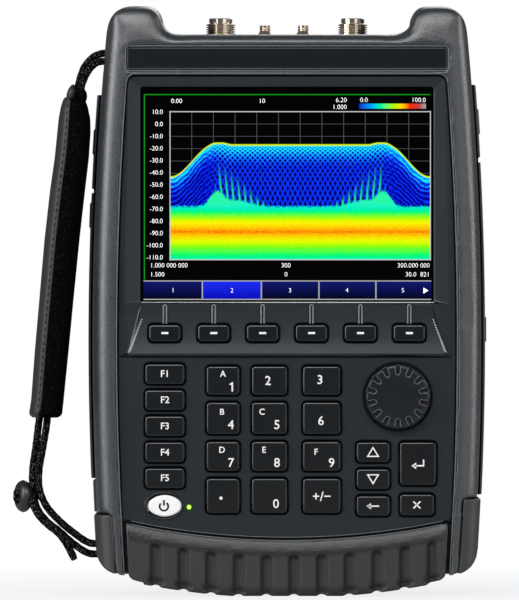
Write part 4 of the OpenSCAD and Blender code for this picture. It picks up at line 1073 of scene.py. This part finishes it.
def cast_frame():
    """The front frame as one casting: horns that curl, a wide roll along their inner edges, crisp rims."""
    piece = copy_of("front_frame", "front_frame_shell", True)
    rims = front_rims(piece, FRAME_FRONT * MM)
    # Pale beads along the front rims: painted highlights
    rim_line = beads_along("front_frame_rims", piece, rims, 0.34 * MM, Vector((0, 0.24, 0)) * MM)
    finished(rim_line, edge_painted_highlight, CASE)
    gap_line(piece, rims)
    tree = KDTree(len(rim_line.data.vertices))
    for vertex in rim_line.data.vertices:
        tree.insert(vertex.co, vertex.index)
    tree.balance()

    def ease(place):
        x, y, z = place / MM
        return within(tree.find(place)[2] / MM, -0.6, 1.3) * away_from_seam(x, z)

    def polish(place):
        x, y, z = place / MM
        return within(tree.find(place)[2] / MM, 0.2, 2.6) * within(-y, 14, 22) * away_from_seam(x, z)

    def roll(place):
        x, y, z = place / MM
        return within(z, 268, 272) * within(-y, 18, 25) * within(12 - abs(abs(x) - 58), 0, 4)

    def lean(place):
        x, y, z = place / MM
        return within(z, 269, 274) * within(-y, 18, 27)

    remeshed(piece, 0.9 * MM)
    for name, share, rounds in (("ease", ease, 4), ("polish", polish, 16), ("roll", roll, 110)):
        weigh(piece, name, share)
        smooth_group(piece, name, rounds)
    weigh(piece, "lean", lean)
    lean_foot, curl_foot, curl_height, curl_radius = 265, 275, 11.5, 13
    for vertex in piece.data.vertices:
        x, y, z = vertex.co / MM
        horn = within(abs(x), 48, 60)
        rise = max(z - lean_foot, 0)
        flat = 0.04 * rise * within(z, 263, 272)
        up = min(max(z - curl_foot, 0), curl_height)
        curl = curl_radius - math.sqrt(curl_radius ** 2 - up ** 2)
        back = (1 - horn) * 0.0066 * rise ** 2 + horn * (flat - 0.65 * curl)
        vertex.co.y += back * within(-y, 14, 30) * MM
    smooth_group(piece, "lean", 36)
    return finished(all_smooth(piece), case_plastic, CASE, ["front_frame"])


def bumper_edge(x):
    """Height of the bumper's bowed upper edge, in millimetres."""
    return BUMPER_HEIGHT + BUMPER_BOW - math.sqrt(BUMPER_BOW ** 2 - x ** 2)


def bumper_foot(x):
    """Height of the bumper's bowed lower edge near its ends."""
    return bumper_edge(x) - BUMPER_HEIGHT


def rolled_bumper():
    """The ribbed bumper: its lip rolls back along the upper edge, and flutes run down to the foot."""
    end_start, end_radius = 75, 4.5
    piece = soften(copy_of("bottom_bumper", "bottom_bumper_skin"), 0.66 * MM, 3)
    for vertex in piece.data.vertices:
        x, y, z = vertex.co / MM
        below = bumper_edge(x) - z
        z += below * (1 - within(below, 0.4, 1.4))
        below = bumper_edge(x) - z
        vertex.co.y += 0.0225 * max(8.0 - below, 0) ** 2 * within(-y, 28, 35) * MM
        flute = round((x - FLUTE_START) / FLUTE_PITCH)
        away = x - FLUTE_START - FLUTE_PITCH * min(max(flute, -FLUTES_EACH_WAY), FLUTES_EACH_WAY)
        height = min(max(z - bumper_foot(x), 0), BUMPER_ROUND)
        face = BUMPER_FRONT + BUMPER_ROUND - math.sqrt(BUMPER_ROUND ** 2 - (BUMPER_ROUND - height) ** 2)
        if y < face + 3.6 and below > 5 and abs(away) < 4.2:
            reach = math.hypot(away, max(FLUTE_TOP - below, 0)) / FLUTE_RADIUS
            hollow = face + FLUTE_DEPTH * max(1 - reach ** 2, 0)
            share = within(height, 0.3, 1.5) * within(below, 5.5, 6.8)
            vertex.co.y = (y + (hollow - y) * share) * MM
        end = within(abs(x), 70, 79)
        vertex.co.x -= math.copysign(1.5 * end, x) * MM
        past = max(abs(x) - end_start, 0)
        lift = end_radius - math.sqrt(max(end_radius ** 2 - past ** 2, 0))
        vertex.co.z = max(z, (bumper_foot(x) + lift if end else 0)) * MM

    def lip(place):
        x, y, z = place / MM
        return within(z - bumper_edge(x) + 9, 0, 3)

    weigh(piece, "lip", lip)
    smooth_group(piece, "lip", 14)
    return finished(piece, bumper_rubber, CASE, ["bottom_bumper"])


cast_frame()
rounded_copy("rear_cover", "rear_cover_shell", case_plastic, CASE, 0.5 * MM, pierced=True)


def shelf_share(z):
    """0 at the soft key shelf's upper end, 1 at its foot."""
    return within(SHELF_TOP - z, 0.0, SHELF_HEIGHT)


def shelf_depth(z):
    """How far the hollowed shelf stands in front of the panel, at a height in millimetres."""
    return SHELF_RISE * shelf_share(z) ** 2.1


def hollow_bezel():
    """The bezel, its soft key shelf drawn to a hollow ramp that ends in a lip."""
    piece = copy_of("display_bezel", "display_bezel_face", True)
    only(piece)
    bpy.ops.object.mode_set(mode="EDIT")
    for i in range(9):
        bpy.ops.mesh.select_all(action="SELECT")
        bpy.ops.mesh.bisect(plane_co=(0, 0, (118.5 + 2.6 * i) * MM), plane_no=(0, 0, 1))
    bpy.ops.object.mode_set(mode="OBJECT")
    for vertex in piece.data.vertices:
        z = vertex.co.z / MM
        t = shelf_share(z)
        if abs(vertex.co.y - PLATE_Y + SHELF_RISE * t * MM) < 0.03 * MM and 0 < t:
            vertex.co.y = PLATE_Y - shelf_depth(z) * MM
    slope_edges(piece, 0.52 * MM, 0.3 * MM)
    return finished(piece, panel_plastic, CASE, ["display_bezel"])


hollow_bezel()
plate = slope_edges(copy_of("keypad_plate", "keypad_plate_face", True), 0.52 * MM, 0.3 * MM)
finished(plate, panel_plastic, CASE, ["keypad_plate"])


def rounded_strip():
    """The name strip, with rounded corners and a narrow slope round its face."""
    strip = copy_of("name_strip", "name_strip_face")
    ready_to_pick(strip, "EDGE")
    for edge in strip.data.edges:
        ends = [strip.data.vertices[v].co for v in edge.vertices]
        edge.select = math.hypot(ends[0].x - ends[1].x, ends[0].z - ends[1].z) < 1e-6
    bpy.ops.object.mode_set(mode="EDIT")
    bpy.ops.mesh.bevel(offset=1.7 * MM, segments=6, affect="EDGES")
    bpy.ops.object.mode_set(mode="OBJECT")
    applied(strip, "edges", "BEVEL", width=0.32 * MM, segments=1, limit_method="ANGLE",
            angle_limit=math.radians(60))
    bpy.ops.object.shade_flat()
    return finished(strip, strip_gloss(), CASE, ["name_strip"])


rounded_strip()


def notched_knob():
    """The tuning knob: a turned cap with finger notches cut into its rim."""
    low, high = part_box("tuning_knob")
    middle = ((low[0] + high[0]) / 2 / MM, 0, (low[2] + high[2]) / 2 / MM)
    back, face = high[1] / MM, low[1] / MM
    outline = [(0, back), (15.7, back), (15.7, face + 1.5), (15.55, face + 0.9), (15.2, face + 0.5),
               (14.7, face + 0.25), (13.5, face + 0.12), (9, face), (0, face)]
    knob = turned("tuning_knob_grip", outline, middle, (0, 1, 0), 112)
    notch = [(11.9 - 1.25 * math.sin(a), 1.25 * math.cos(a)) for a in spread(0, math.pi, 10)]
    notch = [(17, 1.45), (14.6, 1.33)] + notch + [(14.6, -1.33), (17, -1.45)]
    rims = []
    for turn in circle(KNOB_NOTCHES):
        out = Vector((math.cos(math.pi / 2 + turn), math.sin(math.pi / 2 + turn)))
        side = Vector((-out.y, out.x))
        points = [(middle[0] + out.x * r + side.x * t, middle[2] + out.y * r + side.y * t)
                  for r, t in notch]
        rim = [Vector((x, face + 0.16 + 0.04 * max(r - 13.5, 0), z)) * MM
               for (x, z), (r, t) in zip(points, notch) if r < 15]
        rims.append(bead("notch_rim", rim, 0.2 * MM))
        cutter = solid_shape([(x * MM, z * MM) for x, z in points], face * MM, 2.6 * MM)
        applied(knob, "notch", "BOOLEAN", object=cutter, operation="DIFFERENCE", solver="EXACT")
        bpy.data.objects.remove(cutter)
    round_edges(knob, 0.36 * MM, 32)
    finished(knob, knob_rubber, "knob", ["tuning_knob"])
    # Pale beads round the notches: painted highlights
    finished(joined(rims, "tuning_knob_rims"), edge_painted_highlight, "knob")
    # A near-black ring in the gap round the knob: painted shade
    painted_gap_ring = [(15.85, -33.3), (16.75, -33.45), (16.75, -32.9), (15.85, -32.9), (15.85, -33.3)]
    finished(turned("knob_gap_shade", painted_gap_ring, middle, (0, 1, 0), 96), silicone, CASE)


notched_knob()
rounded_copy("tilt_stand", "tilt_stand_leaf", stand_plastic, "stand", 0.6 * MM)
for door in ("right_port_door", "right_service_door", "left_port_door", "battery_door"):
    rounded_copy(door, door + "_leaf", door_plastic, door, 0.5 * MM)


def door_gap_shade(name, side, low, high):
    """A near-black bead on the bowed side wall, just in front of the doors: painted shade in the gap."""
    path = []
    for z in spread(low, high, 40):
        bow = (z - SIDE_MIDDLE) ** 2 / (2 * SIDE_BOW)
        path.append(Vector((side * (SIDE_X + 0.65 - bow), -8.6, z)) * MM)
    finished(bead(name, path, 0.7 * MM), painted_gap_shade, CASE)


door_gap_shade("door_gasket_left", -1, 57, 245)
door_gap_shade("door_gasket_right", 1, 49, 250)
rolled_bumper()


def edge_bead(name, y, up, radius):
    """A fine pale bead along the bumper's bowed upper edge: a painted highlight."""
    path = [Vector((x, y, bumper_edge(x) + up)) * MM for x in spread(-76.0, 76.0, 60)]
    finished(bead(name, path, radius), edge_painted_highlight, CASE)


edge_bead("bumper_rim", -35.45, -0.25, 0.32 * MM)
edge_bead("plate_rim", -33.42, 1.35, 0.25 * MM)
corners = soften(copy_of("corner_bumpers", "corner_bumper_skins"), 0.5 * MM, 2)
finished(corners, corner_rubber, CASE, ["corner_bumpers"])


def corner_seam(name, finish, side, radius, sink):
    """A bead along the seam between a corner rubber and its rail."""
    low = [(21 - 9.7 * math.sin(a), -26 - 9.35 * math.cos(a)) for a in spread(0, math.pi / 2, 10)]
    flat = [(38.8, -35.25), (30, -35.3)] + low
    path = [Vector((side * seam_place(z), y + sink, z)) * MM for z, y in flat]
    finished(bead(name, path, radius), finish, CASE)


corner_seam("corner_seam_left", corner_rubber, -1, 0.62 * MM, 0.0)
# On the right the seam bead is near-black: painted shade in the seam
corner_seam("corner_seam_right", silicone, 1, 0.42 * MM, -0.2)
finished(copy_of("display_window", "display_glass"), screen_glass, CASE, ["display_window"])

key_names = ["soft_key_%d" % i for i in range(1, 7)] + ["function_key_%d" % i for i in range(1, 6)]
key_names += ["number_key_" + n for n in "1 2 3 4 5 6 7 8 9 0 point sign".split()]
key_names += ["up_key", "down_key", "back_key", "enter_key", "escape_key"]
KEY_BANDS = ((0.45 * MM, 0.28 * MM), (0.3 * MM, 0.085 * MM))
for key in key_names:
    front = SOFT_KEY_Y if key.startswith("soft") else KEY_Y
    cap = slope_front(copy_of(key, key + "_cap"), front, KEY_BANDS)
    finished(cap, key_plastic, key, [key])
power_cap = round_front(copy_of("power_key", "power_key_cap"), KEY_Y, 1.1 * MM)
finished(power_cap, cap_plastic, "power_key", ["power_key"])

# Nodes that keep the solid model's shape
plain = {
    "display_module": shield_metal, "key_sheet": silicone, "keypad_board": board, "main_board": board,
    "radio_module": shield_metal, "battery_pack": battery_skin, "encoder": steel, "encoder_shaft": steel,
    "case_screws": steel, "hinge_pins": steel, "side_jacks": shield_metal}
for name, finish in plain.items():
    coated(nodes[name], finish)


# Coaxial ports on the top, turned with their threads, sockets and centre pins
def coaxial_ports(name, node, places, outline):
    pieces = [turned(name, outline, (x, 7, 0), (0, 0, 1)) for x in places]
    return finished(joined(pieces, name), nickel, CASE, [node])


def thread(root, crest, start, pitch, count):
    """Side outline of a thread's ridges."""
    ridge = ((root, 0.0), (crest, 0.28), (crest, 0.6), (root, 0.88))
    return [(r, start + pitch * (k + h)) for k in range(count) for r, h in ridge]


coaxial_ports("test_port_bodies", "test_ports", (-32.5, 32.5), [
    (0, 262.3), (8.0, 262.3), (8.0, 273.6), (7.6, 274.2), (6.7, 274.6), *thread(6.1, 7.2, 274.8, 1.12, 5),
    (6.2, 280.4), (5.2, 280.5), (5.2, 280.8), (5.7, 280.9), (5.72, 282.7), (5.5, 283.0), (4.6, 283.0),
    (4.3, 282.7), (4.2, 276.5), (1.2, 276.5), (0.9, 276.7), (0.9, 281.8), (0.5, 282.2), (0, 282.3)])
coaxial_ports("small_port_bodies", "small_ports", (-10.7, 8.1), [
    (0, 262.3), (4.0, 262.3), (4.0, 274.2), (3.6, 275.0), (3.0, 275.8), (2.6, 276.6),
    *thread(2.3, 2.75, 276.7, 0.8, 3), (2.3, 279.2), (2.6, 279.3), (2.6, 279.6), (2.2, 279.6), (2.1, 279.4),
    (2.1, 276.2), (0.6, 276.2), (0.6, 279.1), (0, 279.2)])


# Legends: lettering and strokes, each a thin raised print
def lettering(body, place, y, size, name, align="CENTER", thick=0.05 * MM, bold=0.06 * MM):
    """Raised type, its middle or end at a point of the photograph."""
    x, z = spot(*place)
    bpy.ops.object.select_all(action="DESELECT")
    bpy.ops.object.text_add(location=(x, y, z), rotation=(math.pi / 2, 0, 0))
    piece = bpy.context.object
    piece.data.body = body
    piece.data.size = size
    piece.data.align_x = align
    piece.data.align_y = "CENTER"
    piece.data.extrude = thick
    piece.data.offset = bold
    piece.data.resolution_u = 3
    bpy.ops.object.convert(target="MESH")
    piece = bpy.context.object
    piece.name = name
    return set_down(piece)


def ribbon(points, width, y, closed=False, thick=0.1 * MM):
    """A flat stroke along points across and up, with square joints."""
    count = len(points)
    flat = [Vector((p[0], 0, p[1])) for p in points]
    outer, inner = [], []
    for i, p in enumerate(flat):
        before = flat[i - 1] if i or closed else p
        after = flat[(i + 1) % count] if i + 1 < count or closed else p
        back = (p - before).normalized() if (p - before).length else (after - p).normalized()
        ahead = (after - p).normalized() if (after - p).length else back
        across = Vector((-(back + ahead).z, 0, (back + ahead).x)).normalized()
        plain_across = Vector((-ahead.z, 0, ahead.x))
        reach = width / 2 / max(0.35, across.dot(plain_across))
        outer.append(p + across * reach)
        inner.append(p - across * reach)
    points = []
    for depth in (y - thick / 2, y + thick / 2):
        points += [Vector((p.x, depth, p.z)) for p in outer + inner]
    faces = []
    total = 2 * count
    for i in range(count if closed else count - 1):
        n = (i + 1) % count
        a, b, c, d = i, n, count + n, count + i
        faces += [(a, b, c, d), (d + total, c + total, b + total, a + total),
                  (a, a + total, b + total, b), (d, c, c + total, d + total)]
    if not closed:
        e = count - 1
        faces += [(0, count, count + total, total), (e, e + total, count + e + total, count + e)]
    return outward(from_points("stroke", points, faces), 1e-8)


def legend(key, pieces, finish=white_ink):
    return finished(joined(pieces, key + "_legend"), finish, key)


INK_Y = KEY_Y - 0.02 * MM
STROKE = 0.7 * MM
digit_spots = {
    "1": (232, 387), "2": (268, 381), "3": (320, 380), "4": (231, 425), "5": (277, 425), "6": (321, 421),
    "7": (231, 463), "8": (277, 463), "9": (331.6, 463), "0": (276, 504)}
second_spots = {
    "1": (223, 374), "4": (222, 412), "5": (262, 412), "7": (222, 450), "8": (264, 450), "9": (316, 452)}
small_letters = dict(zip("145789", "ABCDEF"))
for digit, place in digit_spots.items():
    if digit == "1":
        pieces = [ribbon(from_spot(place, (-1.1, 1.2), (0.15, 1.95), (0.15, -2.2)), 0.72 * MM, INK_Y)]
    else:
        pieces = [lettering(digit, place, INK_Y, 6.2 * MM, "digit")]
    if digit in second_spots:
        pieces.append(lettering(small_letters[digit], second_spots[digit], INK_Y, 4.2 * MM, "letter"))
    legend("number_key_" + digit, pieces)
dot = from_spot(POINT_SPOT, *[(0.8 * math.cos(a), 0.8 * math.sin(a)) for a in circle(24)])
legend("number_key_point", [solid_shape(dot, INK_Y)])
legend("number_key_sign", [lettering("+/−", SIGN_SPOT, INK_Y, 6.4 * MM, "sign")])
for i, row in enumerate(FUNCTION_KEY_ROWS):
    label = lettering("F%d" % (i + 1), (FUNCTION_KEY_COLUMN, row), INK_Y, 4.6 * MM, "label")
    legend("function_key_%d" % (i + 1), [label])
soft_key_spots = [(SOFT_KEY_COLUMN + SOFT_KEY_STEP * i, SOFT_KEY_ROW) for i in range(6)]
for i, place in enumerate(soft_key_spots):
    dash = from_spot(place, (-1.7, -0.5), (1.7, -0.5), (1.7, 0.5), (-1.7, 0.5))
    legend("soft_key_%d" % (i + 1), [solid_shape(dash, SOFT_KEY_Y - 0.02 * MM)])
for key, place, up in (("up_key", UP_SPOT, 1), ("down_key", DOWN_SPOT, -1)):
    corners = from_spot(place, (-2.6, -2.1 * up), (2.6, -2.1 * up), (0, 2.2 * up))
    legend(key, [ribbon(corners, 0.6 * MM, INK_Y, True)])
legend("back_key", [ribbon(from_spot(BACK_SPOT, (3, 0), (-2.4, 0)), STROKE, INK_Y),
                    solid_shape(from_spot(BACK_SPOT, (-3.2, 0), (-1, -1.5), (-1, 1.5)), INK_Y)])
legend("enter_key", [ribbon(from_spot(ENTER_SPOT, (2.8, 2), (2.8, -1), (-2, -1)), STROKE, INK_Y),
                     solid_shape(from_spot(ENTER_SPOT, (-3.2, -1), (-0.8, -2.6), (-0.8, 0.6)), INK_Y)])
legend("escape_key", [ribbon(from_spot(ESCAPE_SPOT, (-1.7, -rise), (1.7, rise)), STROKE, INK_Y)
                      for rise in (1.7, -1.7)])
arc = [(2.1 * math.sin(math.radians(a)), 2.1 * math.cos(math.radians(a)) - 0.25)
       for a in range(38, 323, 12)]
legend("power_key", [ribbon(from_spot(POWER_SPOT, *line), 0.92 * MM, INK_Y)
                     for line in (arc, ((0, 0.1), (0, 2.8)))], dark_ink)


# Trims on the panels: rims above the soft keys, ribs beside the shelf, a line under the window and a ring
# round the power key; the rims, ribs and that line are pale: painted highlights
def guide_rim(x):
    """An arched rim on the shelf above a soft key."""
    half, foot, crown = 0.75, 132.9, 141.3
    flat = [(-half, foot), (-half, crown)]
    flat += [(-half * math.cos(a), crown + half * math.sin(a)) for a in spread(0, math.pi, 8)[1:-1]]
    flat += [(half, crown), (half, foot)]
    path = [Vector((x / MM + dx, PLATE_FRONT - 0.1 - shelf_depth(z), z)) * MM for dx, z in flat]
    return bead("guide_rim", path, 0.42 * MM)


guides = [guide_rim(spot(*place)[0]) for place in soft_key_spots]
# The rims are pale: painted highlights
finished(joined(guides, "soft_key_guides"), trim_painted_highlight, CASE)


def shelf_edge(top, low, lean):
    """A row of slanted ribs down the shelf's side, growing towards its foot."""
    (x0, z0), (x1, z1) = spot(*top), spot(*low)
    pieces = []
    count = 13
    for i in range(count):
        t = (i + 0.5) / count
        half = 0.3 + 0.5 * t
        x, z = (x0 + (x1 - x0) * t) / MM, (z0 + (z1 - z0) * t) / MM
        ends = []
        for k in (-1, 1):
            height = z - 0.9 * half * k
            front = PLATE_FRONT - shelf_depth(height) - 0.05
            ends.append(Vector((x + lean * half * k, front, height)) * MM)
        pieces.append(bead("shelf_rib", ends, 0.24 * MM, sides=2))
    return pieces


# Pale ribs down the shelf's sides: painted highlights
ribs = shelf_edge(*SHELF_LEFT, -1) + shelf_edge(*SHELF_RIGHT, 1)
finished(joined(ribs, "shelf_edges"), rib_painted_highlight, CASE)
# A pale bead along the window's lower edge: painted highlight
painted_edge_bead = bead("display_edge_painted_highlight", [Vector((-71.0 * MM, PLATE_Y + 0.15 * MM, 143.2 * MM)),
                             Vector((71.6 * MM, PLATE_Y + 0.15 * MM, 143.2 * MM))], 0.27 * MM)
finished(painted_edge_bead, rib_painted_highlight, CASE)
x, z = spot(*POWER_SPOT)
oval = [Vector((x + 9.35 * MM * math.cos(a), PLATE_Y - 0.1 * MM, z + 6.5 * MM * math.sin(a)))
        for a in circle(72)]
finished(bead("power_key_ring", oval, 0.55 * MM, True, 4), knob_rubber, CASE)

# Screen numbers, on the glass
NUMBER_Y = GLASS_Y - 0.02 * MM


def screen_number(body, place, align):
    return lettering(body, place, NUMBER_Y, 3.2 * MM, "level", align, 0.01 * MM, -0.05 * MM)


levels = [("%.1f" % (10 - 10 * i), LEVEL_COLUMN, LEVEL_ROW + LEVEL_STEP * i, "RIGHT") for i in range(13)]
values = [
    ("0.00", 171, 101, "LEFT"), ("10", 262, 101, "CENTER"), ("6.20", 347, 100, "RIGHT"),
    ("1.000", 347, 107, "RIGHT"), ("0.0", 360, 100, "LEFT"), ("100.0", 426, 100, "RIGHT"),
    ("1.000 000 000", 150, VALUE_ROW, "LEFT"), ("300", 286, VALUE_ROW, "CENTER"),
    ("300.000 000", 430, VALUE_ROW, "RIGHT"), ("1.500", 150, SECOND_ROW, "LEFT"),
    ("0", 286, SECOND_ROW, "CENTER"), ("30.0  821", 430, SECOND_ROW, "RIGHT")]
menu_columns = (173, 232, 290, 347, 403)
values += [(str(i + 1), column, MENU_ROW, "CENTER") for i, column in enumerate(menu_columns)]
numbers = [screen_number(body, (column, row), align) for body, column, row, align in levels + values]
arrow = from_spot(MENU_ARROW_SPOT, (-1.2, -1.5), (1.2, 0), (-1.2, 1.5))
numbers.append(solid_shape(arrow, NUMBER_Y, 0.02 * MM))
finished(joined(numbers, "screen_numbers"), screen_ink, CASE)


# Status light and its glow on the plate
def from_lens(f):
    """Distance from the middle of the light, in millimetres."""
    x, y, z = f.axes()
    return ((x - LENS_X) ** 2.0 + (z - LENS_Z) ** 2.0).root()


def light_glow():
    f = Finish("status_glow", Roughness=0.3, Emission_Strength=1.5)
    f.set(Base_Color=grey(0.05), Emission_Color=from_lens(f).ramp(
        (0.0, tint("fff6a0")), (0.6, tint("fbff50")), (0.85, tint("c0ff30")), (1.0, tint("50c818"))))
    return f.material


coated(nodes["status_lens"], light_glow())


def light_halo():
    """The faint green light that the lens throws on the plate round it."""
    f = Finish("status_halo", Base_Color=grey(0.002), Roughness=0.6, Specular_IOR_Level=0.1,
               Emission_Strength=1.0)
    share = 1.0 - from_lens(f).steps(0.6, HALO_RADIUS)
    f.set(Emission_Color=f.blend(tint("0c3a04"), tint("58f018"), share ** 2.0), Alpha=share * 0.7)
    return f.material


halo = solid_shape([((LENS_X + HALO_RADIUS * math.cos(a)) * MM, (LENS_Z + HALO_RADIUS * math.sin(a)) * MM)
                    for a in circle(48)], PLATE_Y - 0.06 * MM, 0.04 * MM)
halo.name = "status_halo"
finished(halo, light_halo(), CASE)


# Studio: soft boxes and strips at both sides, above and behind, a white backdrop and a pale floor
LIT_POINT = Vector((0, 0, 0.15))


def area_light(name, place, width, height, power):
    """A soft box that faces the middle of the object."""
    data = bpy.data.lights.new(name, "AREA")
    data.shape = "RECTANGLE"
    data.size = width
    data.size_y = height
    data.energy = power
    light = in_scene(name, data)
    light.location = place
    light.rotation_euler = (LIT_POINT - Vector(place)).to_track_quat("-Z", "Y").to_euler()


# Place, width, height and power
area_light("left_box", (-1.32, -0.7, 0.6), 0.5, 1.2, 16.2)
area_light("left_strip", (-1.0, -1.25, 0.55), 0.3, 1.0, 2.6)
area_light("right_box", (0.86, -1.1, 0.5), 0.9, 1.2, 3.7)
area_light("right_strip", (1.5, -0.2, 0.5), 0.5, 1.2, 10.0)
area_light("top_box", (-0.2, -1.4, 1.0), 1.1, 0.42, 14.2)
area_light("rear_box", (0.5, 1.4, 1.0), 1.2, 0.8, 7.0)


class Backdrop(Finish):
    """The world, its nodes added in the same way."""

    def __init__(self, name):
        world = bpy.data.worlds.new(name)
        bpy.context.scene.world = world
        world.use_nodes = True
        self.tree = world.node_tree
        self.shader = self.tree.nodes["Background"]


def ray(f, kind):
    return f.node("ShaderNodeLightPath", None, None, "Is %s Ray" % kind)


def in_view(f):
    """1 for what is looked at, straight or through glass."""
    return ray(f, "Camera").most(ray(f, "Transmission"))


def studio_world():
    """White behind the object, dim where it lights the object."""
    f = Backdrop("studio")
    share = in_view(f).most(ray(f, "Glossy") * 0.06)
    f.set(Color=f.blend((0.07, 0.07, 0.072, 1), (1, 1, 1, 1), share))


def studio_floor():
    """A floor that takes a soft shadow and fades into the white backdrop."""
    bpy.ops.object.select_all(action="DESELECT")
    bpy.ops.mesh.primitive_plane_add(size=1.3, location=(0, 0, -0.0002))
    floor = bpy.context.object
    floor.name = "studio_floor"
    f = Finish("studio_floor", Base_Color=(0.6, 0.6, 0.6, 1), Roughness=0.9)
    away = f.node("ShaderNodeVectorMath", {"operation": "LENGTH"}, {0: f.place()}, "Value")
    fade = f.node("ShaderNodeMapRange", None, {
        "Value": away, "From Min": 0.1, "From Max": 0.45, "To Min": 0.82})
    glow = f.node("ShaderNodeEmission")
    surface = f.node("ShaderNodeMixShader", None, {
        0: in_view(f) * fade, 1: Reading(f, f.shader.outputs[0]), 2: glow})
    f.feed(f.tree.nodes["Material Output"].inputs["Surface"], surface)
    floor.data.materials.append(f.material)


studio_world()
studio_floor()
